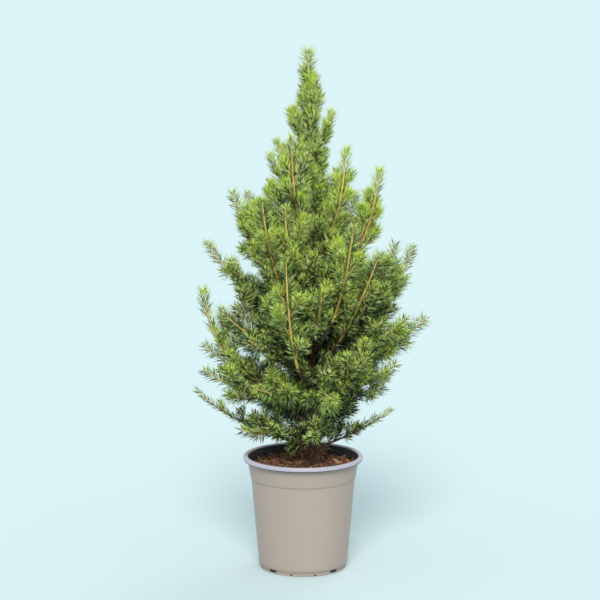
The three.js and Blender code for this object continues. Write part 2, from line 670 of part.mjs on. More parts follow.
// The foliage of one bough: its needled stem with the side shoots joined on
function makeMass(plan) {
  const random = seededNumbers(plan.number + 101);
  const from = plan.start + (plan.limb ? CLEARANCE / plan.length : 0);
  const radius = boughRadius(plan, from);
  const trail = curveTrail(plan.curve, from, 8);
  const stem = { curve: plan.curve, from, rootRadius: radius, startRadius: radius, trail };
  const shoots = [stem, ...sideShoots(plan)];
  const siblings = shoots.map((shoot) => shoot.trail);
  const solids = shoots.map((shoot) => shootSolid(shoot, siblings, plan, random)).filter(Boolean);
  const joined = wasm.Manifold.union(solids).asOriginal().simplify(TINY);
  return namedMesh(plan.name + "_needles", toGeometry(joined), plan.fresh ? FRESH_NEEDLES : NEEDLES);
}

const spruce = new THREE.Group();
spruce.add(makePot(), makeSoil(), makeTrunk());
for (const plan of plans) {
  if (plan.limb) spruce.add(makeLimb(plan));
  spruce.add(makeMass(plan));
}

export default spruce;
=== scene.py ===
"""A young Alberta spruce in a round plastic nursery pot.

Shapes are worked out in millimetres with +Z up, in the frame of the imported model, and become metres as
each mesh is made. The front of the plant faces -Y, and +X is on the right as it is seen from there.
"""
import math
from types import SimpleNamespace

import bpy
import numpy as np
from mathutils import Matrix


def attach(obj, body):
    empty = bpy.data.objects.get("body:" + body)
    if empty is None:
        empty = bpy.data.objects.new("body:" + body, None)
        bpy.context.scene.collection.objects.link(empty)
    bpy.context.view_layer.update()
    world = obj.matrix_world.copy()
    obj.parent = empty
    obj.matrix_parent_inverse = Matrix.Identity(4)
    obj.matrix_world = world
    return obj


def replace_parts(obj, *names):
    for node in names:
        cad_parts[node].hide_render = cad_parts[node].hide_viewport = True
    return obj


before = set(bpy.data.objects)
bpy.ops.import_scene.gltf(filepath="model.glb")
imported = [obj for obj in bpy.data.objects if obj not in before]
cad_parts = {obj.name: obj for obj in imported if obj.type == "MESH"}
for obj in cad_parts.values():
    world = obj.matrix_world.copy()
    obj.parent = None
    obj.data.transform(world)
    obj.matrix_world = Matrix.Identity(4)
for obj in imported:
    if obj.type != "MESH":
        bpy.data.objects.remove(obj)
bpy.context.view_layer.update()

MM = 0.001
TURN = 2 * math.pi
GOLDEN_TURN = 137.5 / 360 * TURN
UP = np.array([0.0, 0.0, 1.0])

# The camera, and the size of the picture that its focal length is counted in
PICTURE_PX = 600
FOCAL_PX = 2072.3
SENSOR_WIDTH = 36
CAMERA_PLACE = (-3.39, -2200, 637.2)
CAMERA_DIP_DEG = 8.866

# Driving sizes of the pot
POT_HEIGHT = 124
RIM_RADIUS = 65
LIP_WIDTH = 5.2
LIP_DEPTH = 5
COLLAR_TOP_RADIUS = 60.2
COLLAR_FOOT_RADIUS = 57.2
COLLAR_FOOT_Z = 100
COLLAR_STEP = 0.9
WALL = 1.2
BASE_RADIUS = 48.2
BASE_Z = 5.2
FOOT_RADIUS = 46.6
FLOOR = 1.5
CHANNEL_INNER_RADIUS = 30
CHANNEL_OUTER_RADIUS = 41.5
CHANNEL_DEPTH = 3
POT_SEGMENTS = 192
FEET = 4
NOTCH_DEG = 13
NOTCH_HEIGHT = 4.8
DRAIN_SLOT_OFFSET_DEG = 16
DRAIN_SLOT_DEG = 4
DRAIN_SLOT_HEIGHT = 2.6

# Driving sizes of the soil and the trunk
CLEARANCE = 0.3
SOIL_TOP = 113
SOIL_BUMP = 1.6
TRUNK_FOOT = (13, 4)
TRUNK_LEAN = (-7.3, -4)
TRUNK_SWAY = -4.2
TRUNK_TIP_Z = 476
CROWN_TOP = 568
TRUNK_FOOT_RADIUS = 6
TRUNK_TIP_RADIUS = 1.9
TRUNK_TAPER = 1.15
ROOT_FLARE = 3
ROOT_FLARE_HEIGHT = 7

# Driving sizes of the boughs and their side shoots
BARE_LIMB_SHARE = 0.3
BARE_STEM_SHARE = 0.17
LEADER_FULLNESS = 0.48
LIMB_RADIUS_PER_LENGTH = 0.015
LIMB_LEAST_RADIUS = 1.4
STEM_END_RADIUS = 0.9
SHOOT_SPACING = 16
SHOOT_SPREAD_DEG = 41
UPRIGHT_SPREAD_DEG = 28
SPREAD_RANGE_DEG = 12
UNDER_SHOOT_FROM = -0.3
UNDER_SHOOT_SIZE = 0.75
SHOOT_SIZES = (0.85, 1.1)
SHOOT_LIFT = 0.5
SHOOT_SHARE = 0.42
SHOOT_FALL = 1.2
SHOOT_REACH = 0.62
SHOOT_LEAST = 9
SHOOT_MOST = 46
SPACE_MARGIN = 1.2
LIMB_MARGIN = 1
WALL_ROOM = 6
SOIL_ROOM = 3
RIM_ROOM = 2
TRAIL_PIECES = 12

# Each bough leaves the trunk at the height foot, and its furthest tip is at the height top, reach from
# the pot's axis, at a bearing counted from +X towards +Y. Then come its sweep, how strongly it curves
# upwards, and its fullness, how long its side shoots are beside those of an even bough. The words say
# what it is: with limb its inner stretch is bare, with fresh its needles are young and light, with sparse
# its outer end is thin and brown, with hanging its needles droop, and with upright its shoots stay close.
BOUGHS = [
    ("low_left", 132, 174, 122, 199, 0.4, 0.4, "limb sparse upright"),
    ("left_dense", 160, 190, 114, 224, 0.1, 1.6),
    ("left_curve", 190, 185, 108, 313, 0.85, 0.3, "limb fresh upright"),
    ("left_mid", 244, 175, 108, 361, 0.22, 0.5, "limb"),
    ("left_high", 290, 180, 78, 418, 0.38, 0.9),
    ("left_high_back", 304, 146, 75, 412, 0.4, 1),
    ("left_bright", 268, 226, 63, 413, 0.6, 1, "fresh"),
    ("front_left_slim", 284, 250, 57, 408, 0.7, 1, "fresh"),
    ("front_left", 200, 258, 86, 353, 0.8, 1, "limb fresh"),
    ("front_centre", 250, 283, 86, 320, 0.45, 1.3, "fresh"),
    ("upright_left", 340, 240, 26, 478, 0.6, 1, "upright"),
    ("upper_left_a", 360, 207, 40, 430, 0.5, 1, "upright"),
    ("upper_left_b", 386, 172, 37, 457, 0.4, 0.35, "upright"),
    ("upper_left_c", 410, 154, 33, 471, 0.4, 0.6, "upright"),
    ("upper_left_d", 446, 202, 11, 508, 0.5, 0.8, "upright"),
    ("upper_right_c", 452, 315, 18, 537, 0.5, 0.6, "upright"),
    ("upper_right_a", 446, 0, 32, 503, 0.5, 0.45, "upright"),
    ("upper_right_b", 410, 28, 29, 462, 0.4, 0.5, "upright"),
    ("right_spire", 330, 345, 48, 464, 0.65, 0.6, "fresh upright"),
    ("right_dark", 324, 36, 73, 411, 0.4, 0.55, "upright"),
    ("right_tall", 294, 6, 83, 440, 0.67, 0.75, "fresh upright"),
    ("front_right", 236, 310, 82, 386, 0.5, 1, "limb fresh"),
    ("right_slant", 206, 330, 95, 357, 0.2, 1, "limb fresh"),
    ("right_outer", 213, 12, 123, 356, 0.5, 0.75, "limb"),
    ("right_long", 190, 0, 136, 279, 0.2, 1, "limb fresh"),
    ("right_dense", 174, 353, 106, 231, 0.15, 1.5),
    ("right_low", 144, 24, 64, 190, 0.2, 1.2),
    ("low_right", 131, 4, 101, 178, 0.3, 0.4, "sparse upright"),
    ("front_right_mid", 184, 316, 99, 250, 0.3, 1.3, "fresh"),
    ("front_arch", 166, 292, 92, 203, -0.3, 1.3, "fresh hanging"),
    ("front_left_low", 172, 228, 82, 210, -0.1, 1.3, "fresh hanging"),
    ("front_left_mid", 218, 222, 84, 264, 0.2, 1.3),
    ("front_low", 137, 280, 64, 158, -0.2, 1.2),
    ("front_spray", 204, 289, 92, 229, 0, 1),
    ("back_low_left", 150, 133, 106, 214, 0.25, 1.3),
    ("back_low", 164, 96, 110, 226, 0.3, 1.3),
    ("back_low_right", 164, 55, 106, 220, 0.25, 1.3),
    ("back_mid_left", 214, 128, 100, 296, 0.4, 1.3),
    ("back_mid", 228, 86, 108, 325, 0.45, 1.3),
    ("back_mid_right", 222, 44, 110, 318, 0.4, 1.3),
    ("back_high_left", 280, 112, 74, 390, 0.45, 1),
    ("back_high", 308, 74, 64, 420, 0.5, 0.8),
    ("back_spire", 366, 92, 36, 466, 0.5, 0.5),
    ("left_full", 178, 164, 117, 244, 0.3, 1.5),
    ("left_inner", 230, 198, 97, 295, 0.4, 1.4),
    ("left_skirt", 143, 202, 80, 158, 0, 1.2),
    ("right_upper", 256, 350, 101, 364, 0.55, 1.1),
    ("right_full", 222, 350, 117, 283, 0.3, 1.5),
]

# Driving sizes of what grows only here: finer twigs
STEM_TIP_BACK = 8
SHOOT_TIP_BACK = 4
FINE_TIP_BACK = 2
WOOD_END_RADIUS = 0.6
SIDE_WOOD_RADIUS = 0.9
FINE_WOOD_RADIUS = 0.6
FINE_END_RADIUS = 0.5
FINE_SPACING = 8
FINE_STEM_FIRST = 0.6
FINE_SIDE_FIRST = 0.18
FINE_SPREAD_DEG = 42
FINE_SPREAD_SCATTER_DEG = 6
FINE_ROLL_SCATTER = 0.35
FINE_SHARE = 0.5
FINE_LEAST = 7
FINE_MOST = 24
FINE_SIDE_SHARE = 0.8
FINE_SIZES = (0.7, 1.1)
FINE_REACH = 0.66
UPRIGHT_SPREAD = 0.75
SHORTEST_SHOOT = 5

# Shares of a shoot's length at which its place is looked at
PROBES = np.linspace(0.15, 1, 8)

# Wood: the step between its rings, its sides, and how far the pegs of its needles stand out
OLD_WOOD = (1.6, 9, 0.16)
YOUNG_WOOD = (2, 8, 0.1)
TWIG_WOOD = (4.5, 4, 0.05)
OLD_SHARE = 0.5
FRESH_OLD_SHARE = 0.3
SPARSE_OLD_SHARE = 0.85
YOUNG_TWIG_FROM = 0.55

# Needles: their size, the shares by which single ones vary, how close they stand and how they spread
NEEDLE_LENGTH = 11.2
NEEDLE_LENGTHS = (0.8, 1.14)
FRESH_LENGTH = 1.12
SPARSE_LENGTH = 0.7
TIP_LENGTH = 0.84
NEEDLE_WIDTH = 0.76
NEEDLE_WIDTHS = (0.8, 1.2)
NEEDLE_CORNER = 0.6
NEEDLE_MIDDLE = 0.4
NEEDLE_BOW = 0.05
NEEDLE_FACES = np.array([[0, 2, 1], [0, 3, 2], [0, 1, 3], [1, 2, 4], [2, 3, 4], [3, 1, 4]])
STEM_NEEDLES_PER_MM = 2.8
NEEDLES_PER_MM = 4.1
LEADER_CROWDING = 1.25
DRY_CROWDING = 0.35
TIP_CROWDING = 0.76
NEEDLE_SPREAD_DEG = 56
NEEDLE_SPREAD_SCATTER_DEG = 8
NEEDLE_ROLL_SCATTER = 0.25
TIP_SPREAD = 0.6
TIP_ZONE = 7
NEEDLE_LIFT = 0.06
NEEDLE_DROOP = 0.5
NEEDLE_ROOM = 4
FOOT_NEEDLE_ROOM = 1
SPARSE_SHARE = 0.5
SPARSE_FROM = 0.45
PARTED_FROM = 0.5
PARTED_SHARE = 0.88
PARTED_BEHIND = 45

# The stems that show in front, with few needles before them
SEEN_STEMS = (
    "left_bright", "front_left", "upright_left", "front_right", "right_slant", "right_spire", "right_tall",
)
SEEN_FROM = 0.25
SEEN_TIP_BACK = 14
SEEN_HALF_WIDTH = 2.6
SEEN_DEPTH = 60
SEEN_SLOPE = 0.15
SEEN_LOST = 0.85

# Short shoots that stand on the trunk itself between the boughs, and a bare place in front
TRUNK_SHOOT_SEAT = 0.6
# TRUNK_SHOOT_DEPTH counts these shoots as lying deep in the crown, which gives their needles painted shade
TRUNK_SHOOT_DEPTH = 0.1
BEARING_SCATTER = 0.2
INNER_SHOOTS = 64
INNER_Z = (130, 452)
INNER_LENGTHS = (52, 24)
INNER_SIZES = (0.7, 1.15)
INNER_RISE_DEG = 36
INNER_RISE_SCATTER_DEG = 9
GAP_LOW_Z = 216
GAP_HIGH_Z = 246
GAP_HALF_WIDTH = 7
DRY_BELOW_Z = 142
TRUNK_NEEDLES_FROM_Z = 425

# Low twigs that hang over the soil round the foot of the trunk, short at the right and in front. The
# short ones are dry.
FOOT_SHOOTS = 18
FOOT_Z = (128, 140)
FOOT_LENGTHS = (9, 34)
FOOT_DRY_LENGTH = 24
FOOT_RISE_DEG = 4
FOOT_RISE_SCATTER_DEG = 7
FOOT_SAG = 0.22
FOOT_SHORT_SHARE = 0.5

# Tones of the needles, from the darkest and oldest to the lightest and youngest. The darkest tones also
# serve as painted shade deep in the crown, and the pale one also serves for painted glints.
NEEDLE_TONES = [
    ("needles_shade", (22, 34, 15)),
    ("needles_deep", (52, 80, 24)),
    ("needles_blue", (102, 128, 80)),
    ("needles_green", (108, 144, 42)),
    ("needles_moss", (156, 184, 76)),
    ("needles_pale", (206, 220, 148)),
    ("needles_olive", (200, 216, 114)),
    ("needles_leaf", (170, 200, 68)),
    ("needles_lime", (182, 212, 66)),
    ("needles_tip", (190, 216, 72)),
]
DRY_NEEDLES = ("needles_dry", (134, 104, 62))

# What makes a needle light, much of it painted light and shade: needles are darker near the pot's axis
# and near the trunk along a bough, as painted shade deep in the crown among older needles, lighter on a
# shoot's upper side as painted light, and now and then pale as painted glints. A row holds what it adds,
# and the distances from the pot's axis or the heights between which that grows.
PAINTED_SHADE_NEAR_AXIS = (0.3, 35, 105)
# The heights make needles lighter up the crown, a little darker at the very top, and a little lighter low
# down as painted light where the upper boughs shade the lower.
HEIGHT_TONES = ((0.56, 280, 410), (-0.06, 430, 470), (0.08, 250, 180))
LEAST_TONE = -0.03
OUTWARD_TONE = 0.32
FRESH_TONE = 0.04
SPARSE_TONE = -0.12
SHOOT_TONE_SCATTER = 0.08
TONE_SCATTER = 0.34
# Painted light: needles on a shoot's upper side are made lighter, those beneath it darker
LIT_SIDE = 0.15
TIP_TUFT = 10
TUFT_SHARES = (1, 0.7, 0.3)
TUFT_TONE = 0.22
FRESH_TUFT_TONE = 0.4
TUFT_TONES = (0.4, 1.2)
PLAIN_CEILING = 0.59
FRESH_CEILING = 0.69
# Painted glints: a share of needles in every spray is dealt at random into the pale tone
GLINT_SHARE = 0.06
GLINT_TONE = 0.57

# Relief of the trunk's bark: furrows between plates, scales and grain, lobes at the foot, and a knot
# round each bough
BARK_SIDES = 48
BARK_STEP = 0.9
BARK_GRIDS = ((70, 14), (220, 25), (400, 49))
FURROW_RELIEF = 0.9
SCALE_RELIEF = 0.5
GRAIN_RELIEF = 0.25
BARK_SUNK = 0.6
FOOT_RELIEF = 0.75
TIP_RELIEF = 0.28
FOOT_LOBES = 5
LOBE_RELIEF = 1.6
LOBE_HEIGHT = 9
KNOT_RELIEF = 0.9
KNOT_HALF_WIDTH = 3.2
KNOT_HALF_HEIGHT = 4.2

# Finish of the pot, and the blocks that its notches and slots are cut with
WALL_STEPS = 24
WALL_BULGE = 0.12
COLLAR_STEPS = 7
LIP_RISE = 2.3
LIP_STEP_DEG = 15
LIP_STEPS = 11
SHARP_DEG = 40
CUTTER_REACH = 52
CUTTER_FOOT = -1

# The top of the soil, and the chips on it: their colours, how many there are, and how wide they are
SOIL_SEGMENTS = 160
SOIL_RINGS = 44
SOIL_EDGE = 57
SOIL_LUMPY_FROM = (21, 29)
SOIL_SLUMP = 0.4
CRUMB_CELLS = 60
GRAIN_CELLS = 150
CRUMB_SIZE = 1.8
GRAIN_SIZE = 1.2
CRUMBS_SUNK = 1.6
CHIP_SPREAD = 55.5
CHIP_EDGE = 57.2
CHIP_LONGEST = 16
CHIPS = [
    ("chips_red", (138, 92, 66), 700, 1),
    ("chips_brown", (120, 88, 66), 850, 1),
    ("chips_dark", (80, 56, 42), 900, 1),
    ("chips_tan", (216, 178, 136), 220, 0.6),
]

# Materials with patches: where their colours begin and end, and how their gloss and bump vary
MOTTLE_FROM = 0.3
MOTTLE_TO = 0.7
MOTTLE_DETAIL = 4
GLOSS_SCATTER = 0.06
BUMP_DEPTH = 0.2
BUMP_FINENESS = 6


def mix(a, b, share):
    return a + (b - a) * share


def ease(share):
    """An even S from 0 to 1"""
    return share * share * (3 - 2 * share)


def smooth(value, low, high):
    """0 up to low, 1 from high on, and an even S between them. High may also be the smaller one."""
    return ease(np.clip((value - low) / (high - low), 0, 1))


def normal(vectors):
    """Vectors of length 1"""
    return vectors / np.linalg.norm(vectors, axis=-1, keepdims=True)


def rgba(colour):
    """A colour of 0 to 255 as the renderer counts it, and solid"""
    shares = [(c / 255 / 12.92) if c <= 10 else ((c / 255 + 0.055) / 1.055) ** 2.4 for c in colour]
    return (*shares, 1)


def seeded_numbers(seed):
    """The repeatable row of numbers from 0 to 1 that the solids were grown with"""
    modulus = 2147483647
    state = (seed * 7919 + 104729) % modulus
    while True:
        state = state * 16807 % modulus
        yield state / modulus


class Curve:
    """A quadratic curve through space, walked by shares of its length"""

    def __init__(self, start, bend, end):
        self.start, self.bend, self.end = (np.array(p, float) for p in (start, bend, end))
        self.steps = np.linspace(0, 1, 201)
        points = self.place(self.steps)
        walked = np.cumsum(np.linalg.norm(np.diff(points, axis=0), axis=1))
        self.length = walked[-1]
        self.shares = np.concatenate([[0], walked]) / self.length

    def place(self, step):
        t = np.asarray(step, float)[..., None]
        return (1 - t) ** 2 * self.start + 2 * t * (1 - t) * self.bend + t**2 * self.end

    def point(self, share):
        return self.place(np.interp(share, self.shares, self.steps))

    def tangent(self, share):
        t = np.interp(share, self.shares, self.steps)[..., None]
        return normal(2 * (1 - t) * (self.bend - self.start) + 2 * t * (self.end - self.bend))


class Pile:
    """Many small closed bodies that become one mesh"""

    def __init__(self):
        self.points = []
        self.triangles = []
        self.count = 0

    def add(self, points, triangles):
        self.points.append(points)
        self.triangles.append(triangles + self.count)
        self.count += len(points)

    def build(self, name, material, slot):
        points = np.concatenate(self.points)
        triangles = np.concatenate(self.triangles)
        return make_piece(name, points, triangles, [material], slot)


def add_object(name, data):
    """Puts a mesh, a light or a camera into the scene"""
    thing = bpy.data.objects.new(name, data)
    bpy.context.scene.collection.objects.link(thing)
    return thing


def make_piece(name, points, triangles, materials, slot):
    """A smooth mesh that rides with the plant"""
    mesh = bpy.data.meshes.new(name)
    mesh.vertices.add(len(points))
    mesh.vertices.foreach_set("co", (points * MM).astype(np.float32).ravel())
    mesh.loops.add(triangles.size)
    mesh.loops.foreach_set("vertex_index", triangles.astype(np.int32).ravel())
    mesh.polygons.add(len(triangles))
    mesh.polygons.foreach_set("loop_start", np.arange(0, triangles.size, 3, dtype=np.int32))
    mesh.polygons.foreach_set("loop_total", np.full(len(triangles), 3, np.int32))
    mesh.polygons.foreach_set("use_smooth", np.ones(len(triangles), bool))
    mesh.update(calc_edges=True)
    for material in materials:
        mesh.materials.append(material)
    piece = add_object(name, mesh)
    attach(piece, "root")
    return piece


def closed(rings, foot, tip):
    """The points and triangles of rings that run one after the other, closed by a point at each end"""
    count, sides = rings.shape[:2]
    points = np.concatenate([rings.reshape(-1, 3), [foot, tip]])
    ring = np.arange(count - 1)[:, None] * sides
    side = np.arange(sides)
    after = (side + 1) % sides
    a, b = ring + side, ring + after
    c, d = a + sides, b + sides
    walls = np.stack([np.stack([a, b, d], -1), np.stack([a, d, c], -1)], 2).reshape(-1, 3)
    middle = np.full(sides, count * sides)
    last = (count - 1) * sides
    caps = [np.stack([middle, after, side], 1), np.stack([middle + 1, last + side, last + after], 1)]
    return points, np.concatenate([walls, *caps])


def spokes(across, above, angles):
    """The directions at some angles in the plane of each pair of directions"""
    return across[:, None] * np.cos(angles)[:, None] + above[:, None] * np.sin(angles)[:, None]


def tube(centres, tangents, radii):
    """A closed tube. radii has a row for each ring, with a radius for each of its sides."""
    sides = radii.shape[1]
    # The last term only settles where the sides of a straight tube begin
    across = normal(np.cross(tangents[0], tangents[-1]) + 0.02 * np.cross(tangents[0], [0.3, 0.5, 0.8]))
    across = normal(across - (tangents @ across)[:, None] * tangents)
    above = np.cross(tangents, across)
    angles = np.arange(sides) * TURN / sides
    rings = centres[:, None] + spokes(across, above, angles) * radii[..., None]
    return closed(rings, centres[0], centres[-1])


def turned(profile, segments):
    """The points of a solid of revolution about +Z from radius and height pairs, off the axis"""
    profile = np.array(profile, float)
    angles = np.arange(segments) * TURN / segments
    x = profile[:, :1] * np.cos(angles)
    y = profile[:, :1] * np.sin(angles)
    z = np.broadcast_to(profile[:, 1:], x.shape)
    return np.stack([x, y, z], -1)


def wrapped_noise(rng, shape):
    """Random heights from 0 to 1 on a grid whose last column meets its first"""
    grid = rng.random(shape)
    grid[:, -1] = grid[:, 0]
    return grid


def read_noise(grid, along, across):
    """Heights of a grid at shares of its two sides, smoothed between its nodes"""
    u = np.clip(along, 0, 0.99999) * (grid.shape[0] - 1)
    v = np.clip(across, 0, 0.99999) * (grid.shape[1] - 1)
    i, j = u.astype(int), v.astype(int)
    du, dv = ease(u - i), ease(v - j)
    low = grid[i, j] * (1 - dv) + grid[i, j + 1] * dv
    high = grid[i + 1, j] * (1 - dv) + grid[i + 1, j + 1] * dv
    return low * (1 - du) + high * du


def set_inputs(node, values):
    for name, value in values.items():
        node.inputs[name].default_value = value
    return node


def add_node(tree, kind, **values):
    """A new node, with the values of some of its inputs"""
    return set_inputs(tree.nodes.new("ShaderNode" + kind), values)


def connect(source, output, target, name):
    """Leads an output of one node to an input of another"""
    source.id_data.links.new(source.outputs[output], target.inputs[name])


def new_material(name, **values):
    """A material and its shader, with the values of some of the shader's inputs"""
    material = bpy.data.materials.new(name)
    material.use_nodes = True
    return material, set_inputs(material.node_tree.nodes["Principled BSDF"], values)


def plain_material(name, colour, roughness, specular=0.4):
    """One plain colour, for joined needles and twigs"""
    values = {"Base Color": rgba(colour), "Roughness": roughness, "Specular IOR Level": specular}
    return new_material(name, **values)[0]


def mottled_material(name, colours, scale, roughness, bump, stretch=(1, 1, 1)):
    """Patches of several colours with a fine bump, placed by the object's own coordinates"""
    material, shader = new_material(name)
    tree = material.node_tree
    place = add_node(tree, "TexCoord")
    mapping = add_node(tree, "Mapping", Scale=stretch)
    noise = add_node(tree, "TexNoise", Scale=scale, Detail=MOTTLE_DETAIL)
    ramp = add_node(tree, "ValToRGB")
    gloss = {"To Min": roughness - GLOSS_SCATTER, "To Max": roughness + GLOSS_SCATTER}
    span = add_node(tree, "MapRange", **gloss)
    grain = add_node(tree, "TexNoise", Scale=scale * BUMP_FINENESS)
    relief = add_node(tree, "Bump", Strength=bump, Distance=BUMP_DEPTH * MM)
    stops = ramp.color_ramp.elements
    stops[0].position = MOTTLE_FROM
    stops[1].position = MOTTLE_TO
    for number in range(1, len(colours) - 1):
        stops.new(mix(MOTTLE_FROM, MOTTLE_TO, number / (len(colours) - 1)))
    for stop, colour in zip(stops, colours):
        stop.color = rgba(colour)
    connect(place, "Object", mapping, "Vector")
    connect(mapping, "Vector", noise, "Vector")
    connect(mapping, "Vector", grain, "Vector")
    connect(noise, "Fac", ramp, "Fac")
    connect(noise, "Fac", span, "Value")
    connect(grain, "Fac", relief, "Height")
    connect(ramp, "Color", shader, "Base Color")
    connect(span, "Result", shader, "Roughness")
    connect(relief, "Normal", shader, "Normal")
    return material


def trunk_centre(z):
    """The middle of the trunk at a height: it leans to the left and sways once"""
    z = np.asarray(z, float)
    share = (z - SOIL_TOP) / (CROWN_TOP - SOIL_TOP)
    x = TRUNK_FOOT[0] + TRUNK_LEAN[0] * share + TRUNK_SWAY * np.sin(math.pi * share) ** 2
    y = TRUNK_FOOT[1] + TRUNK_LEAN[1] * share
    return np.stack([x, y, z], -1)


def trunk_radius(z):
    share = np.clip((z - SOIL_TOP) / (TRUNK_TIP_Z - SOIL_TOP), 0, 1)
    taper = (TRUNK_FOOT_RADIUS - TRUNK_TIP_RADIUS) * (1 - share) ** TRUNK_TAPER
    return TRUNK_TIP_RADIUS + taper + ROOT_FLARE * np.exp(-(z - SOIL_TOP) / ROOT_FLARE_HEIGHT)


class Bough:
    """A bough as the solids' rule has it: its line, its length and where its parts begin"""

    def __init__(self, number, name, foot, bearing, reach, top, sweep, fullness, words=""):
        self.number = number
        self.name = name
        self.fullness = fullness
        self.words = words
        start = trunk_centre(foot)
        angle = math.radians(bearing)
        end = np.array([math.cos(angle) * reach, math.sin(angle) * reach, top])
        corner = np.array([end[0], end[1], start[2]])
        bend = mix((start + end) / 2, corner, sweep)
        self.curve = Curve(start, bend, end)
        self.length = self.curve.length
        self.seat = self.find_seat()
        self.bare = max(self.seat, BARE_LIMB_SHARE if "limb" in words else BARE_STEM_SHARE)
        self.trail = self.curve.point(np.linspace(self.seat, 1, TRAIL_PIECES + 1))

    def find_seat(self):
        """The share of its length at which it comes out of the trunk, somewhere in its first half"""
        shares = np.linspace(0, 0.5, 501)
        points = self.curve.point(shares)
        away = np.linalg.norm(points - trunk_centre(points[:, 2]), axis=1)
        clear = away - trunk_radius(points[:, 2]) > CLEARANCE + self.radius(shares)
        return shares[np.argmax(clear)]

    def radius(self, share):
        foot = max(LIMB_LEAST_RADIUS, self.length * LIMB_RADIUS_PER_LENGTH)
        return mix(foot, STEM_END_RADIUS, share)


class Leader(Bough):
    """The shoot that carries on from the trunk's tip to the top of the crown"""

    def __init__(self, number):
        self.number = number
        self.name = "leader"
        self.words = "fresh upright broad"
        middle = trunk_centre((TRUNK_TIP_Z + CROWN_TOP) / 2)
        self.curve = Curve(trunk_centre(TRUNK_TIP_Z), middle, trunk_centre(CROWN_TOP))
        self.length = self.curve.length
        self.seat = 0
        self.bare = CLEARANCE / self.length
        self.fullness = LEADER_FULLNESS
        self.trail = self.curve.point(np.linspace(0, 1, TRAIL_PIECES + 1))


class Shoot:
    """One needled twig: the stem of a bough (order 0), a side shoot (1), or a finer twig on either (2)"""

    def __init__(self, bough, curve, order, outward, foot_radius, tip_radius, tip_back, leafy_from=0.0):
        self.bough = bough
        self.curve = curve
        self.order = order
        self.outward = outward
        self.foot_radius = foot_radius
        self.tip_radius = tip_radius
        self.leafy_from = leafy_from
        self.reach = max(0.3, 1 - tip_back / curve.length)


def frame_along(tangent):
    """Two directions square to a tangent, the second one as near to up as it can be"""
    across = normal(np.cross(tangent, UP))
    return across, np.cross(across, tangent)


def bent_curve(root, direction, length, lift):
    """The line of a shoot that sets out straight and then bends upwards, or down if lift is below 0"""
    return Curve(root, root + direction * length / 2, root + direction * length + UP * lift * length)


def branch(line, share, roll, spread, length):
    """The line of a shoot that leaves another line at a share of it and then curves upwards"""
    along = line.tangent(share)
    across, above = frame_along(along)
    out = across * math.cos(roll) + above * math.sin(roll)
    direction = along * math.cos(spread) + out * math.sin(spread)
    return bent_curve(line.point(share), direction, length, SHOOT_LIFT)


def side_shoots(bough):
    """The side shoots of a bough: all round it, longest near the trunk, and curved upwards"""
    random = seeded_numbers(bough.number + 1)
    leafy = bough.length * (1 - bough.bare)
    count = max(1, math.floor(leafy / SHOOT_SPACING + 0.5))
    widest = UPRIGHT_SPREAD_DEG if "upright" in bough.words else SHOOT_SPREAD_DEG
    shoots = []
    for i in range(count):
        outward = SHOOT_REACH * (i + 0.4) / count
        share = mix(bough.bare, 1, outward)
        roll = i * GOLDEN_TURN + bough.number
        spread = math.radians(widest + SPREAD_RANGE_DEG * (next(random) - 0.5))
        full = min(SHOOT_SHARE * leafy * (1 - outward) ** SHOOT_FALL + SHOOT_LEAST, SHOOT_MOST)
        size = (UNDER_SHOOT_SIZE if math.sin(roll) < UNDER_SHOOT_FROM else 1) * bough.fullness
        size *= mix(*SHOOT_SIZES, next(random))
        curve = branch(bough.curve, share, roll, spread, full * size)
        shoots.append(Shoot(bough, curve, 1, share, SIDE_WOOD_RADIUS, WOOD_END_RADIUS, SHOOT_TIP_BACK))
    return shoots


def fine_shoots(parent, rng):
    """Finer twigs on a shoot, set all round it and shorter towards its tip"""
    bough = parent.bough
    on_stem = parent.order == 0
    first = parent.leafy_from * FINE_STEM_FIRST if on_stem else FINE_SIDE_FIRST
    span = parent.curve.length * (parent.reach - first)
    count = int(span * FINE_REACH / FINE_SPACING)
    widest = FINE_SPREAD_DEG * (UPRIGHT_SPREAD if "upright" in bough.words else 1)
    longest = FINE_MOST * (1 if on_stem else FINE_SIDE_SHARE)
    fullness = mix(0.3, 1, min(bough.fullness, 1)) if on_stem else 1
    shoots = []
    for i in range(count):
        outward = FINE_REACH * (i + 0.2 + 0.6 * rng.random()) / count
        share = mix(first, parent.reach, outward)
        roll = i * GOLDEN_TURN + bough.number * 1.7 + rng.normal(0, FINE_ROLL_SCATTER)
        if on_stem and math.sin(roll) < -PARTED_FROM:
            continue
        spread = math.radians(widest + rng.normal(0, FINE_SPREAD_SCATTER_DEG))
        length = min(FINE_SHARE * span * (1 - outward) + FINE_LEAST, longest) * rng.uniform(*FINE_SIZES)
        curve = branch(parent.curve, share, roll, spread, length * fullness)
        depth = share if on_stem else mix(parent.outward, 1, share * 0.5)
        shoots.append(Shoot(bough, curve, 2, depth, FINE_WOOD_RADIUS, FINE_END_RADIUS, FINE_TIP_BACK))
    return shoots


def distances(points, trails):
    """The distance from each point to each trail of straight pieces"""
    starts, ends = trails[:, :-1].reshape(-1, 3), trails[:, 1:].reshape(-1, 3)
    spans = ends - starts
    offsets = points[:, None] - starts[None]
    shares = np.clip((offsets * spans).sum(-1) / (spans**2).sum(-1), 0, 1)
    gaps = np.linalg.norm(offsets - shares[..., None] * spans, axis=-1)
    return gaps.reshape(len(points), len(trails), -1).min(-1)


def over_pot(points):
    """Whether points lie above the soil and the pot's rim"""
    x, y, z = points.T
    over_soil = np.hypot(x, y) < COLLAR_TOP_RADIUS - WALL_ROOM
    return z >= np.where(over_soil, SOIL_TOP + SOIL_ROOM, POT_HEIGHT + RIM_ROOM)


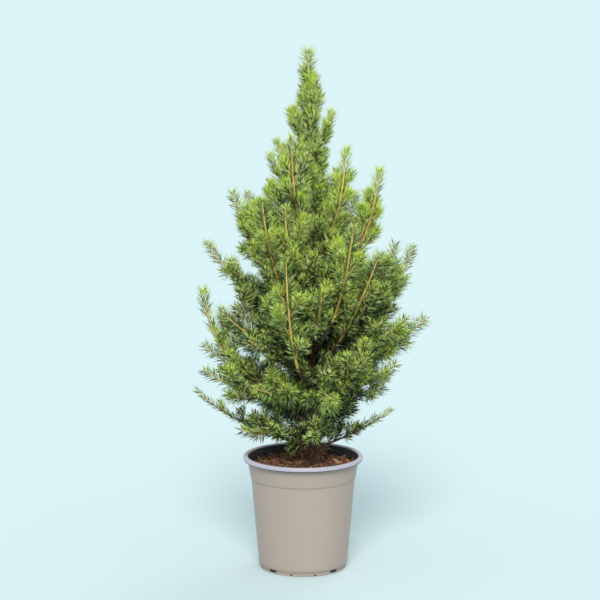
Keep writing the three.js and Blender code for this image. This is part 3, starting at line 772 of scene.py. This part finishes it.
def clear_of_trunk(points, margin):
    """Whether points lie outside the trunk"""
    z = points[:, 2]
    away = np.linalg.norm(points - trunk_centre(z), axis=1)
    return (away > trunk_radius(z) + margin) | (z > TRUNK_TIP_Z)


def before_trunk(points):
    """Whether points lie in the bare place in front of the trunk"""
    x, y, z = points.T
    aside = np.abs(x - trunk_centre(z)[:, 0])
    return (aside < GAP_HALF_WIDTH) & (y < 0) & (z > GAP_LOW_Z) & (z < GAP_HIGH_Z)


def seen_stem_lines():
    """Points along each stem that shows in front"""
    lines = []
    for bough in boughs:
        if bough.name in SEEN_STEMS:
            shares = np.linspace(SEEN_FROM, 1 - SEEN_TIP_BACK / bough.length, 24)
            lines.append(bough.curve.point(shares).T)
    return lines


def before_stems(points, lines):
    """Whether points lie right before a stem that shows in front"""
    before = np.zeros(len(points), bool)
    for x, y, z in lines:
        ahead = np.interp(points[:, 2], z, y) - points[:, 1]
        level = points[:, 2] - SEEN_SLOPE * ahead
        aside = np.abs(points[:, 0] - np.interp(level, z, x))
        beside = (aside < SEEN_HALF_WIDTH) & (level > z[0]) & (level < z[-1])
        before |= beside & (ahead > 0) & (ahead < SEEN_DEPTH)
    return before


def keep_to_space(shoots, bough, trails, keep_aways, own_space=True):
    """Ends each shoot where it would meet another bough, or leave its own bough's space if own_space"""
    if not shoots:
        return []
    points = np.concatenate([shoot.curve.point(PROBES * shoot.reach) for shoot in shoots])
    gaps = distances(points, trails)
    own = gaps[:, bough.number].copy()
    gaps[:, bough.number] = np.inf
    needed = np.maximum(own[:, None] + SPACE_MARGIN, keep_aways) if own_space else keep_aways
    free = (gaps >= needed).all(1)
    free &= over_pot(points) & clear_of_trunk(points, LIMB_MARGIN)
    for shoot, row in zip(shoots, free.reshape(-1, len(PROBES))):
        stop = len(PROBES) if row.all() else int(np.argmin(row))
        shoot.reach *= PROBES[stop - 1] if stop else 0
    return [shoot for shoot in shoots if shoot.curve.length * shoot.reach > SHORTEST_SHOOT]


def grow_bough(bough, trails, keep_aways):
    """All the shoots of one bough, its stem first"""
    rng = np.random.default_rng(seed=bough.number + 500)
    foot = bough.radius(bough.seat)
    stem = Shoot(bough, bough.curve, 0, 0.5, foot, WOOD_END_RADIUS, STEM_TIP_BACK, bough.bare)
    sides = keep_to_space(side_shoots(bough), bough, trails, keep_aways)
    fine = fine_shoots(stem, rng)
    for shoot in sides:
        fine += fine_shoots(shoot, rng)
    return [stem, *sides, *keep_to_space(fine, bough, trails, keep_aways, own_space=False)]


def trunk_shoot(words, z, bearing, rise, length, lift, tip_back, bare):
    """A short shoot that stands on the trunk itself. With inner in its words it fills the crown, with
    foot it hangs low over the soil, and with dry it is brown."""
    owner = SimpleNamespace(number=len(boughs), words=words)
    out = np.array([math.cos(bearing), math.sin(bearing), 0])
    direction = out * math.cos(rise) + UP * math.sin(rise)
    root = trunk_centre(z) + out * trunk_radius(z) * TRUNK_SHOOT_SEAT
    curve = bent_curve(root, direction, length, lift)
    radii = (SIDE_WOOD_RADIUS, WOOD_END_RADIUS)
    return Shoot(owner, curve, 1, TRUNK_SHOOT_DEPTH, *radii, tip_back, bare)


def inner_shoots():
    """The short shoots that clothe the trunk between the boughs, dark with painted shade deep in the crown
    among older needles
    """
    rng = np.random.default_rng(seed=77)
    shoots = []
    for i in range(INNER_SHOOTS):
        height = (i + rng.random()) / INNER_SHOOTS
        z = mix(*INNER_Z, height)
        bearing = i * GOLDEN_TURN + rng.normal(0, BEARING_SCATTER)
        if math.sin(bearing) < -0.5 and GAP_LOW_Z < z < GAP_HIGH_Z:
            continue
        rise = math.radians(INNER_RISE_DEG + rng.normal(0, INNER_RISE_SCATTER_DEG))
        length = mix(*INNER_LENGTHS, height) * rng.uniform(*INNER_SIZES)
        shoot = trunk_shoot("inner", z, bearing, rise, length, SHOOT_LIFT, SHOOT_TIP_BACK, bare=0.12)
        shoots += [shoot, *fine_shoots(shoot, rng)]
    return shoots


def foot_shoots():
    """The low twigs that hang over the soil round the foot of the trunk"""
    rng = np.random.default_rng(seed=79)
    shoots = []
    for i in range(FOOT_SHOOTS):
        z = rng.uniform(*FOOT_Z)
        bearing = i * GOLDEN_TURN + rng.normal(0, BEARING_SCATTER)
        rise = math.radians(FOOT_RISE_DEG + rng.normal(0, FOOT_RISE_SCATTER_DEG))
        length = mix(*FOOT_LENGTHS, rng.random() ** 1.5)
        if math.cos(bearing) > 0.2 or math.sin(bearing) < -0.7:
            length *= FOOT_SHORT_SHARE
        words = "foot dry" if length < FOOT_DRY_LENGTH else "foot"
        shoot = trunk_shoot(words, z, bearing, rise, length, -FOOT_SAG, tip_back=2, bare=0.1)
        shoots += [shoot, *fine_shoots(shoot, rng)]
    return shoots


def add_needles(pile, roots, directions, outs, lengths, widths):
    """Slim three-sided needles that taper to a point at both ends, bent a little outwards"""
    sideways = normal(np.cross(directions, outs))
    upright = np.cross(sideways, directions)
    angles = np.array([math.pi / 2, math.pi * 7 / 6, math.pi * 11 / 6])
    corners = spokes(sideways, upright, angles) * (widths * NEEDLE_CORNER)[:, None, None]
    middle = roots + directions * (lengths * NEEDLE_MIDDLE)[:, None] + outs * (lengths * NEEDLE_BOW)[:, None]
    tips = roots + directions * lengths[:, None]
    points = np.concatenate([roots[:, None], middle[:, None] + corners, tips[:, None]], 1)
    triangles = NEEDLE_FACES[None] + np.arange(len(roots))[:, None, None] * points.shape[1]
    pile.add(points.reshape(-1, 3), triangles.reshape(-1, 3))


def needle_tones(shoot, rng, from_tip, upper):
    """How light each needle of a shoot is, from 0 to 1, with painted shade deep in the crown, painted light
    on its upper side and painted glints. upper says how far it stands on the upper side.
    """
    fresh = "fresh" in shoot.bough.words
    tone = OUTWARD_TONE * shoot.outward + LEAST_TONE + rng.normal(0, SHOOT_TONE_SCATTER)
    x, y, z = shoot.curve.point(shoot.reach / 2)
    added, near, far = PAINTED_SHADE_NEAR_AXIS
    tone += added * smooth(math.hypot(x, y), near, far)
    for added, low, high in HEIGHT_TONES:
        tone += added * smooth(z, low, high)
    tone += FRESH_TONE if fresh else 0
    tone += SPARSE_TONE if "sparse" in shoot.bough.words else 0
    tuft = smooth(TIP_TUFT - from_tip, -4, 4) * TUFT_SHARES[shoot.order]
    boost = (FRESH_TUFT_TONE if fresh else TUFT_TONE) * rng.uniform(*TUFT_TONES)
    tones = tone + boost * tuft + LIT_SIDE * upper + rng.normal(0, TONE_SCATTER, len(upper))
    tones = np.minimum(tones, mix(FRESH_CEILING if fresh else PLAIN_CEILING, 1, tuft))
    # Painted glints: some needles are made pale at random
    glints = rng.random(len(upper)) < GLINT_SHARE
    return np.where(glints, np.maximum(tones, GLINT_TONE), tones)


def dress_shoot(shoot, rng, piles, lines):
    """Sets needles all round a shoot in a spiral. Each goes to the pile of its tone, and most of those
    that would hide a stem that shows in front are left out."""
    words = shoot.bough.words
    leafy = shoot.curve.length * (shoot.reach - shoot.leafy_from)
    sparse = "sparse" in words and shoot.outward > SPARSE_FROM
    dry = "dry" in words or ("inner" in words and shoot.curve.start[2] < DRY_BELOW_Z)
    crowding = STEM_NEEDLES_PER_MM if shoot.order == 0 else NEEDLES_PER_MM
    crowding *= DRY_CROWDING if dry else LEADER_CROWDING if "broad" in words else 1
    count = int(leafy * crowding * (SPARSE_SHARE if sparse else 1))
    if count < 4:
        return
    order = np.arange(count)
    walked = ((order + rng.random(count)) / count) ** TIP_CROWDING
    from_tip = leafy * (1 - walked)
    share = mix(shoot.leafy_from, shoot.reach, walked)
    centres, tangents = shoot.curve.point(share), shoot.curve.tangent(share)
    across, above = frame_along(tangents)
    roll = order * GOLDEN_TURN + rng.normal(0, NEEDLE_ROLL_SCATTER, count)
    outs = across * np.cos(roll)[:, None] + above * np.sin(roll)[:, None]
    upper = (outs * above).sum(1)
    side = smooth(from_tip, -3, TIP_ZONE)
    narrow = "upright" in words and "broad" not in words
    widest = NEEDLE_SPREAD_DEG * (UPRIGHT_SPREAD if narrow else 1) * mix(TIP_SPREAD, 1, side)
    spread = np.radians(widest + rng.normal(0, NEEDLE_SPREAD_SCATTER_DEG, count))
    directions = tangents * np.cos(spread)[:, None] + outs * np.sin(spread)[:, None]
    lift = -NEEDLE_DROOP if "hanging" in words else NEEDLE_LIFT
    directions = normal(directions + UP * lift * side[:, None])
    lengths = NEEDLE_LENGTH * mix(TIP_LENGTH, 1, smooth(from_tip, 0, TIP_ZONE))
    lengths *= rng.uniform(*NEEDLE_LENGTHS, count)
    lengths *= SPARSE_LENGTH if sparse else 1
    lengths *= FRESH_LENGTH if "fresh" in words and shoot.order < 2 else 1
    widths = NEEDLE_WIDTH * rng.uniform(*NEEDLE_WIDTHS, count)
    wood = mix(shoot.foot_radius, shoot.tip_radius, walked)
    roots = centres + outs * (wood * 0.5)[:, None]
    tips = roots + directions * lengths[:, None]
    room = FOOT_NEEDLE_ROOM if "foot" in words else NEEDLE_ROOM
    kept = over_pot(tips - UP * room) & clear_of_trunk(tips, 0) & ~before_trunk(tips)
    crossing = before_stems(tips, lines) | before_stems((roots + tips) / 2, lines)
    kept &= ~crossing | (rng.random(count) > SEEN_LOST)
    if shoot.order < 2 and "hanging" not in words:
        lost = PARTED_SHARE * smooth(from_tip, TIP_ZONE, PARTED_BEHIND) * (upper < -PARTED_FROM)
        kept &= rng.random(count) > lost
    dealt = {DRY_NEEDLES[0]: kept}
    if not dry:
        tones = needle_tones(shoot, rng, from_tip, upper)
        place = np.clip((tones * len(NEEDLE_TONES)).astype(int), 0, len(NEEDLE_TONES) - 1)
        dealt = {name: kept & (place == number) for number, (name, _) in enumerate(NEEDLE_TONES)}
    for name, chosen in dealt.items():
        if chosen.any():
            rows = (values[chosen] for values in (roots, directions, outs, lengths, widths))
            add_needles(piles[name], *rows)


def wood_tube(shoot, from_share, to_share, kind, rng):
    """A stretch of a shoot's wood, roughened by the pegs that its needles stood on"""
    step, sides, peg = kind
    rings = max(3, int(shoot.curve.length * (to_share - from_share) / step))
    shares = np.linspace(from_share, to_share, rings)
    walked = shares / shoot.reach
    radii = mix(shoot.foot_radius, shoot.tip_radius, walked**0.8)
    pegs = rng.uniform(-1, 1, (rings, sides)) * peg
    return tube(shoot.curve.point(shares), shoot.curve.tangent(shares), radii[:, None] + pegs)


def fade_upwards(material, colour, low, high, share):
    """Turns a mottled material into one young colour between two heights, by no more than a share"""
    tree = material.node_tree
    shader = tree.nodes["Principled BSDF"]
    place = add_node(tree, "TexCoord")
    parts = add_node(tree, "SeparateXYZ")
    heights = {"From Min": low * MM, "From Max": high * MM, "To Max": share}
    height = add_node(tree, "MapRange", **heights)
    blend = add_node(tree, "MixRGB", Color2=rgba(colour))
    old = shader.inputs["Base Color"].links[0].from_socket
    tree.links.new(old, blend.inputs["Color1"])
    connect(place, "Object", parts, "Vector")
    connect(parts, "Z", height, "Value")
    connect(height, "Result", blend, "Fac")
    connect(blend, "Color", shader, "Base Color")


def make_trunk():
    """The trunk, with furrowed bark, a lobed foot and a knot round each bough"""
    browns = [(50, 34, 26), (84, 56, 40), (116, 82, 58)]
    bark = mottled_material("trunk_bark", browns, 160, roughness=0.85, bump=0.7, stretch=(1, 1, 0.5))
    fade_upwards(bark, (206, 152, 98), low=270, high=350, share=0.85)
    rng = np.random.default_rng(seed=7)
    bottom = SOIL_TOP - 1
    heights = np.arange(bottom, TRUNK_TIP_Z + BARK_STEP, BARK_STEP)
    share = (heights - bottom) / (TRUNK_TIP_Z - bottom)
    across = np.broadcast_to(np.arange(BARK_SIDES) / BARK_SIDES, (len(heights), BARK_SIDES))
    along = np.broadcast_to(share[:, None], across.shape)
    plates, scales, grain = (read_noise(wrapped_noise(rng, grid), along, across) for grid in BARK_GRIDS)
    furrow = np.abs(plates - 0.5) * 2
    relief = FURROW_RELIEF * np.minimum(furrow, 0.5) + SCALE_RELIEF * scales
    relief += GRAIN_RELIEF * grain - BARK_SUNK
    relief *= mix(FOOT_RELIEF, TIP_RELIEF, share)[:, None]
    angles = across * TURN
    lobes = np.maximum(0, np.cos(angles * FOOT_LOBES + 0.7)) ** 2
    relief += LOBE_RELIEF * lobes * np.exp(-(heights - SOIL_TOP) / LOBE_HEIGHT)[:, None]
    radii = trunk_radius(heights)[:, None]
    for bough in boughs:
        place = bough.curve.point(bough.seat)
        out = place - trunk_centre(place[2])
        turn = (angles - math.atan2(out[1], out[0]) + math.pi) % TURN - math.pi
        away = (turn * radii / KNOT_HALF_WIDTH) ** 2
        away = away + ((heights[:, None] - place[2]) / KNOT_HALF_HEIGHT) ** 2
        relief += KNOT_RELIEF * np.exp(-away)
    centres = trunk_centre(heights)
    outs = np.stack([np.cos(angles), np.sin(angles), np.zeros_like(angles)], -1)
    rings = centres[:, None] + outs * (radii + relief)[..., None]
    trunk = make_piece("trunk_bark", *closed(rings, centres[0], centres[-1]), [bark], "bark")
    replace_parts(trunk, "trunk")


def bends(radius, z, *offsets):
    """Points of a section that lie off one radius and height"""
    return [(radius + out, z + up) for out, up in offsets]


def pot_profile():
    """Radius and height of each point of the pot's section, from the underside's middle outwards and
    round to the inside's middle, and the number of the material of the band after each point"""
    lip_foot = POT_HEIGHT - LIP_DEPTH
    body_top = COLLAR_FOOT_RADIUS - COLLAR_STEP
    outside = [
        (1, 0),
        *bends(CHANNEL_INNER_RADIUS, 0, (0, 0), (1.5, CHANNEL_DEPTH)),
        *bends(CHANNEL_OUTER_RADIUS, 0, (-1.5, CHANNEL_DEPTH), (0, 0)),
        *bends(FOOT_RADIUS, 0, (-0.7, 0), (-0.15, 0.3), (0, 0.9)),
        *bends(FOOT_RADIUS, BASE_Z, (0, -1.4), (0.3, -0.9)),
        *bends(BASE_RADIUS, BASE_Z, (-0.4, -0.3), (0, 0.3)),
    ]
    for step in range(1, WALL_STEPS):
        share = step / WALL_STEPS
        radius = mix(BASE_RADIUS, body_top, share) + WALL_BULGE * math.sin(math.pi * share)
        outside.append((radius, mix(BASE_Z + 0.3, COLLAR_FOOT_Z - 1, share)))
    outside += bends(body_top, COLLAR_FOOT_Z, (0, -1), (0.05, -0.55))
    outside += bends(COLLAR_FOOT_RADIUS, COLLAR_FOOT_Z, (-0.35, -0.4), (0, 0))
    for step in range(COLLAR_STEPS + 1):
        share = step / COLLAR_STEPS
        radius = mix(COLLAR_FOOT_RADIUS + 0.1, COLLAR_TOP_RADIUS - 0.1, share)
        outside.append((radius, mix(COLLAR_FOOT_Z + 0.6, lip_foot - 1.2, share)))
    # The underside of the lip takes the black inner plastic as a painted shadow line under the lip
    painted_shadow_under_lip = bends(COLLAR_TOP_RADIUS, lip_foot, (0.1, -0.4), (0.8, 0))
    painted_shadow_under_lip += bends(RIM_RADIUS, lip_foot, (-1, 0), (-0.45, 0.3))
    roll = []
    for degrees in range(0, 181, LIP_STEP_DEG):
        angle = math.radians(degrees)
        radius = RIM_RADIUS - LIP_WIDTH / 2 + math.cos(angle) * LIP_WIDTH / 2
        roll.append((radius, POT_HEIGHT - LIP_RISE + LIP_RISE * math.sin(angle) ** 0.8))
    # The outer roll of the lip takes the lighter lavender plastic, a painted sheen
    lip = [(RIM_RADIUS - 0.3, lip_foot + 0.9), *roll[:LIP_STEPS]]
    inside = [
        *roll[LIP_STEPS:],
        (COLLAR_TOP_RADIUS - WALL, lip_foot),
        (body_top - WALL, COLLAR_FOOT_Z - 1),
        (BASE_RADIUS - WALL, BASE_Z + 1.6),
        *bends(FOOT_RADIUS - WALL, 0, (-0.2, BASE_Z), (-0.4, FLOOR)),
        *bends(CHANNEL_OUTER_RADIUS, FLOOR, (0.5, 0), (-1, CHANNEL_DEPTH)),
        *bends(CHANNEL_INNER_RADIUS, FLOOR, (1, CHANNEL_DEPTH), (-0.5, 0)),
        (1, FLOOR),
    ]
    lengths = [len(outside), len(painted_shadow_under_lip), len(lip), len(inside)]
    return [*outside, *painted_shadow_under_lip, *lip, *inside], np.repeat([0, 2, 1, 2], lengths)


def ring_sector(inner_radius, top, bearing_deg, width_deg):
    """A closed block from a radius to beyond the pot's foot, centred on a bearing, to cut with"""
    angles = np.radians(bearing_deg + np.linspace(-width_deg / 2, width_deg / 2, 7))
    arc = np.stack([np.cos(angles), np.sin(angles)], -1)
    outline = np.concatenate([arc * inner_radius, arc[::-1] * CUTTER_REACH])
    count = len(outline)
    points = np.column_stack([np.tile(outline, (2, 1)), np.repeat([CUTTER_FOOT, top], count)])
    walls = [[count + i, count + (i + 1) % count, (i + 1) % count, i] for i in range(count)]
    ends = [list(range(count)), list(range(2 * count - 1, count - 1, -1))]
    mesh = bpy.data.meshes.new("cutter")
    mesh.from_pydata((points * MM).tolist(), [], walls + ends)
    return add_object("cutter", mesh)


def cut_away(piece, cutters):
    """Cuts blocks out of a piece for good"""
    group = bpy.data.collections.new("cutters")
    for cutter in cutters:
        group.objects.link(cutter)
    modifier = piece.modifiers.new("cut", "BOOLEAN")
    modifier.operation = "DIFFERENCE"
    modifier.operand_type = "COLLECTION"
    modifier.solver = "EXACT"
    modifier.collection = group
    bpy.context.view_layer.update()
    evaluated = piece.evaluated_get(bpy.context.evaluated_depsgraph_get())
    cut = bpy.data.meshes.new_from_object(evaluated)
    piece.modifiers.clear()
    piece.data = cut
    for cutter in cutters:
        bpy.data.objects.remove(cutter)
    bpy.data.collections.remove(group)


def make_pot():
    """The pot: a tapered wall under a plain collar and a rolled lip, on a foot ring with notches"""
    profile, bands = pot_profile()
    points, triangles = closed(turned(profile, POT_SEGMENTS), [0, 0, 0], [0, 0, FLOOR])
    places = np.concatenate([np.repeat(bands[:-1], 2 * POT_SEGMENTS), np.repeat([0, 2], POT_SEGMENTS)])
    greys = [(160, 143, 133), (167, 149, 140)]
    body = mottled_material("pot_plastic", greys, 9, roughness=0.46, bump=0.12, stretch=(1, 1, 0.4))
    # The lip's lighter lavender is a painted sheen and reflection: the lip is the body's own plastic, made
    # lighter and bluer as if lit from above and reflecting the pale backdrop
    painted_sheen_mauves = [(168, 162, 175), (178, 173, 187)]
    lip = mottled_material("lip_plastic_painted_sheen", painted_sheen_mauves, 12, roughness=0.4, bump=0.1)
    # The black inner plastic, for the real inside of the pot and also as a painted shadow line under the lip
    inner_blacks_and_lip_shadow = [(24, 24, 24), (34, 33, 32)]
    inner = mottled_material("inner_plastic_and_lip_shadow", inner_blacks_and_lip_shadow, 14, roughness=0.5, bump=0.15)
    pot = make_piece("nursery_pot", points, triangles, [body, lip, inner], "pot")
    pot.data.polygons.foreach_set("material_index", places.astype(np.int32))
    cutters = []
    for foot in range(FEET):
        bearing = foot * 360 / FEET
        cutters.append(ring_sector(CHANNEL_OUTER_RADIUS + 1, NOTCH_HEIGHT, bearing + 180 / FEET, NOTCH_DEG))
        for sign in (-1, 1):
            place = bearing + sign * DRAIN_SLOT_OFFSET_DEG
            cutters.append(ring_sector(FOOT_RADIUS - 3, DRAIN_SLOT_HEIGHT, place, DRAIN_SLOT_DEG))
    cut_away(pot, cutters)
    pot.data.set_sharp_from_angle(angle=math.radians(SHARP_DEG))
    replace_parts(pot, "pot")


def soil_height(x, y):
    """The surface of the soil: flat round the trunk's foot, lumpy elsewhere"""
    share = smooth(np.hypot(x - TRUNK_FOOT[0], y - TRUNK_FOOT[1]), *SOIL_LUMPY_FROM)
    lumps = np.sin(x * 0.31 + 1) * np.cos(y * 0.27) + 0.6 * np.sin(x * 0.11 - y * 0.17)
    slump = SOIL_SLUMP * (np.hypot(x, y) / COLLAR_TOP_RADIUS) ** 2
    return SOIL_TOP + share * (SOIL_BUMP * 0.6 * lumps - slump)


def make_soil():
    """The body of the soil, with a crumbly top"""
    rng = np.random.default_rng(seed=3)
    body_top = COLLAR_FOOT_RADIUS - COLLAR_STEP

    def side(z):
        return mix(BASE_RADIUS, body_top, (z - BASE_Z) / (COLLAR_FOOT_Z - BASE_Z)) - WALL - CLEARANCE - 0.2

    floor = FLOOR + CLEARANCE
    profile = [
        (1, floor),
        *bends(CHANNEL_INNER_RADIUS, floor, (-0.8, 0), (0.5, CHANNEL_DEPTH)),
        *bends(CHANNEL_OUTER_RADIUS, floor, (-0.6, CHANNEL_DEPTH), (0.9, 0)),
        (FOOT_RADIUS - WALL - 0.9, floor),
        (FOOT_RADIUS - WALL - 0.7, BASE_Z + 0.4),
        (side(BASE_Z + 2.4), BASE_Z + 2.4),
        (side(COLLAR_FOOT_Z - 2), COLLAR_FOOT_Z - 2),
    ]
    first_top = len(profile)
    profile += [(SOIL_EDGE * ring / SOIL_RINGS, SOIL_TOP) for ring in range(SOIL_RINGS, 0, -1)]
    rings = turned(profile, SOIL_SEGMENTS)
    top = rings[first_top:]
    x, y = top[..., 0], top[..., 1]
    u, v = x / (2 * RIM_RADIUS) + 0.5, y / (2 * RIM_RADIUS) + 0.5
    crumbs, grain = (read_noise(rng.random((cells, cells)), u, v) for cells in (CRUMB_CELLS, GRAIN_CELLS))
    top[..., 2] = soil_height(x, y) - CRUMBS_SUNK
    top[..., 2] += CRUMB_SIZE * crumbs + GRAIN_SIZE * grain - 1
    browns = [(24, 15, 10), (46, 28, 18), (70, 42, 26)]
    material = mottled_material("soil_crumb", browns, 260, roughness=0.95, bump=0.8)
    points, triangles = closed(rings, [0, 0, floor], [0, 0, SOIL_TOP - 1])
    soil = make_piece("soil_body", points, triangles, [material], "soil")
    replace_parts(soil, "soil")


def make_chips():
    """Slivers of bark strewn over the soil, dealt out in a few browns"""
    rng = np.random.default_rng(seed=11)
    corners = np.array([[x, y, z] for x in (-1, 1) for y in (-1, 1) for z in (-1, 1)], float) / 2
    block = [[0, 1, 3], [0, 3, 2], [4, 6, 7], [4, 7, 5], [0, 4, 5], [0, 5, 1]]
    block += [[2, 3, 7], [2, 7, 6], [0, 2, 6], [0, 6, 4], [1, 5, 7], [1, 7, 3]]
    for name, colour, count, width in CHIPS:
        radius = CHIP_SPREAD * np.sqrt(rng.random(count))
        bearing = rng.random(count) * TURN
        x, y = radius * np.cos(bearing), radius * np.sin(bearing)
        lengths = np.minimum(rng.gamma(4, 1.8, count) + 2, CHIP_LONGEST)
        widths = lengths * rng.uniform(0.06, 0.24, count) * width + 0.3
        depths = widths * rng.uniform(0.35, 0.8, count)
        turn = rng.random(count) * TURN
        tilt = rng.normal(0, 0.32, count)
        along = np.stack([np.cos(turn) * np.cos(tilt), np.sin(turn) * np.cos(tilt), np.sin(tilt)], -1)
        across = normal(np.cross(along, UP + rng.normal(0, 0.4, (count, 3))))
        above = np.cross(across, along)
        scatter = corners[None] * np.stack([lengths, widths, depths], -1)[:, None]
        scatter = scatter * rng.uniform(0.55, 1.1, scatter.shape)
        centres = np.stack([x, y, soil_height(x, y) + rng.uniform(-1.2, 1.2, count)], -1)
        points = centres[:, None] + scatter[..., :1] * along[:, None]
        points = points + scatter[..., 1:2] * across[:, None] + scatter[..., 2:] * above[:, None]
        inward = np.minimum(1, CHIP_EDGE / np.hypot(points[..., 0], points[..., 1]))
        points[..., :2] *= inward[..., None]
        triangles = np.array(block)[None] + np.arange(count)[:, None, None] * len(corners)
        material = plain_material(name, colour, roughness=0.85, specular=0.25)
        piece = make_piece(name, points.reshape(-1, 3), triangles.reshape(-1, 3), [material], "soil")
        piece.data.polygons.foreach_set("use_smooth", np.zeros(count * len(block), bool))


def make_crown():
    """The boughs, their twigs and their needles"""
    trails = np.stack([bough.trail for bough in boughs])
    keep_aways = np.array([bough.radius(0) + LIMB_MARGIN for bough in boughs])
    lines = seen_stem_lines()
    piles = {name: Pile() for name, _ in [*NEEDLE_TONES, DRY_NEEDLES]}
    woods = {name: Pile() for name in ("bough_bark", "bough_young", "twigs_brown", "twigs_tan")}
    for bough in boughs:
        rng = np.random.default_rng(seed=bough.number + 900)
        stem, *twigs = grow_bough(bough, trails, keep_aways)
        fresh = "fresh" in bough.words
        old_share = SPARSE_OLD_SHARE if "sparse" in bough.words else FRESH_OLD_SHARE if fresh else OLD_SHARE
        change = mix(bough.seat, stem.reach, old_share)
        root = max(0.0, bough.seat - 4 / bough.length)
        overlap = 1.5 / bough.length
        woods["bough_bark"].add(*wood_tube(stem, root, change, OLD_WOOD, rng))
        woods["bough_young"].add(*wood_tube(stem, change - overlap, stem.reach, YOUNG_WOOD, rng))
        for shoot in twigs:
            young = fresh or shoot.outward > YOUNG_TWIG_FROM
            pile = woods["twigs_tan" if young else "twigs_brown"]
            pile.add(*wood_tube(shoot, 0, shoot.reach, TWIG_WOOD, rng))
        for shoot in [stem, *twigs]:
            dress_shoot(shoot, rng, piles, lines)
    rng = np.random.default_rng(seed=78)
    for shoot in [*inner_shoots(), *foot_shoots()]:
        woods["twigs_brown"].add(*wood_tube(shoot, 0, shoot.reach, TWIG_WOOD, rng))
        dress_shoot(shoot, rng, piles, lines)
    dress_trunk(piles, lines)
    browns = [(66, 46, 32), (96, 68, 46), (120, 88, 58)]
    bark = mottled_material("bough_bark", browns, 220, roughness=0.8, bump=0.5)
    young = plain_material("bough_young", (216, 182, 100), roughness=0.55)
    colours = {"twigs_brown": (104, 82, 58), "twigs_tan": (192, 166, 98)}
    masses = [bough.name + "_needles" for bough in boughs]
    limbs = [bough.name + "_bough" for bough in boughs if "limb" in bough.words]
    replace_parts(woods["bough_bark"].build("bough_bark", bark, "bark"), *limbs)
    woods["bough_young"].build("bough_young", young, "bark")
    for name, colour in colours.items():
        woods[name].build(name, plain_material(name, colour, roughness=0.65), "bark")
    for name, colour in [*NEEDLE_TONES, DRY_NEEDLES]:
        material = plain_material(name, colour, roughness=0.36, specular=0.55)
        piece = piles[name].build(name, material, "needles")
        if name == "needles_green":
            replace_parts(piece, *masses)


def dress_trunk(piles, lines):
    """Needles on the young upper trunk, upright and close to it"""
    heights = (TRUNK_NEEDLES_FROM_Z, (TRUNK_NEEDLES_FROM_Z + TRUNK_TIP_Z) / 2, TRUNK_TIP_Z)
    curve = Curve(*[trunk_centre(z) for z in heights])
    shoot = Shoot(boughs[-1], curve, 0, 0.5, TRUNK_TIP_RADIUS * 1.4, TRUNK_TIP_RADIUS, 0)
    dress_shoot(shoot, np.random.default_rng(seed=21), piles, lines)


def sun(name, azimuth_deg, height_deg, strength, width_deg, colour):
    """A soft light that is the same everywhere. Azimuth 0 shines along +Y, and -90 along +X."""
    data = bpy.data.lights.new(name, "SUN")
    data.energy = strength
    data.angle = math.radians(width_deg)
    data.color = colour
    light = add_object(name, data)
    light.rotation_euler = (math.radians(90 - height_deg), 0, math.radians(azimuth_deg))


def make_stage():
    """The pale floor, the soft studio light and the camera"""
    size = 400
    mesh = bpy.data.meshes.new("floor")
    corners = [(-size, -size, 0), (size, -size, 0), (size, size, 0), (-size, size, 0)]
    mesh.from_pydata(corners, [], [(0, 1, 2, 3)])
    mesh.materials.append(plain_material("floor_paper", (191, 208, 213), roughness=0.9, specular=0.1))
    floor = add_object("floor", mesh)
    world = bpy.data.worlds.new("studio")
    world.use_nodes = True
    sky = {"Color": rgba((232, 246, 249)), "Strength": 0.81}
    set_inputs(world.node_tree.nodes["Background"], sky)
    bpy.context.scene.world = world
    sun("key", azimuth_deg=-2, height_deg=42, strength=2.8, width_deg=24, colour=(1, 0.97, 0.9))
    sun("back", azimuth_deg=150, height_deg=48, strength=0.5, width_deg=30, colour=(1, 0.98, 0.94))
    data = bpy.data.cameras.new("camera")
    data.sensor_width = SENSOR_WIDTH
    data.lens = FOCAL_PX / PICTURE_PX * SENSOR_WIDTH
    data.clip_end = 1000
    camera = add_object("camera", data)
    camera.location = [value * MM for value in CAMERA_PLACE]
    camera.rotation_euler = (math.radians(90 - CAMERA_DIP_DEG), 0, 0)
    bpy.context.scene.camera = camera
    bpy.context.scene.view_settings.view_transform = "Standard"


boughs = [Bough(number, *row) for number, row in enumerate(BOUGHS)]
boughs.append(Leader(len(BOUGHS)))
make_stage()
make_pot()
make_soil()
make_chips()
make_trunk()
make_crown()
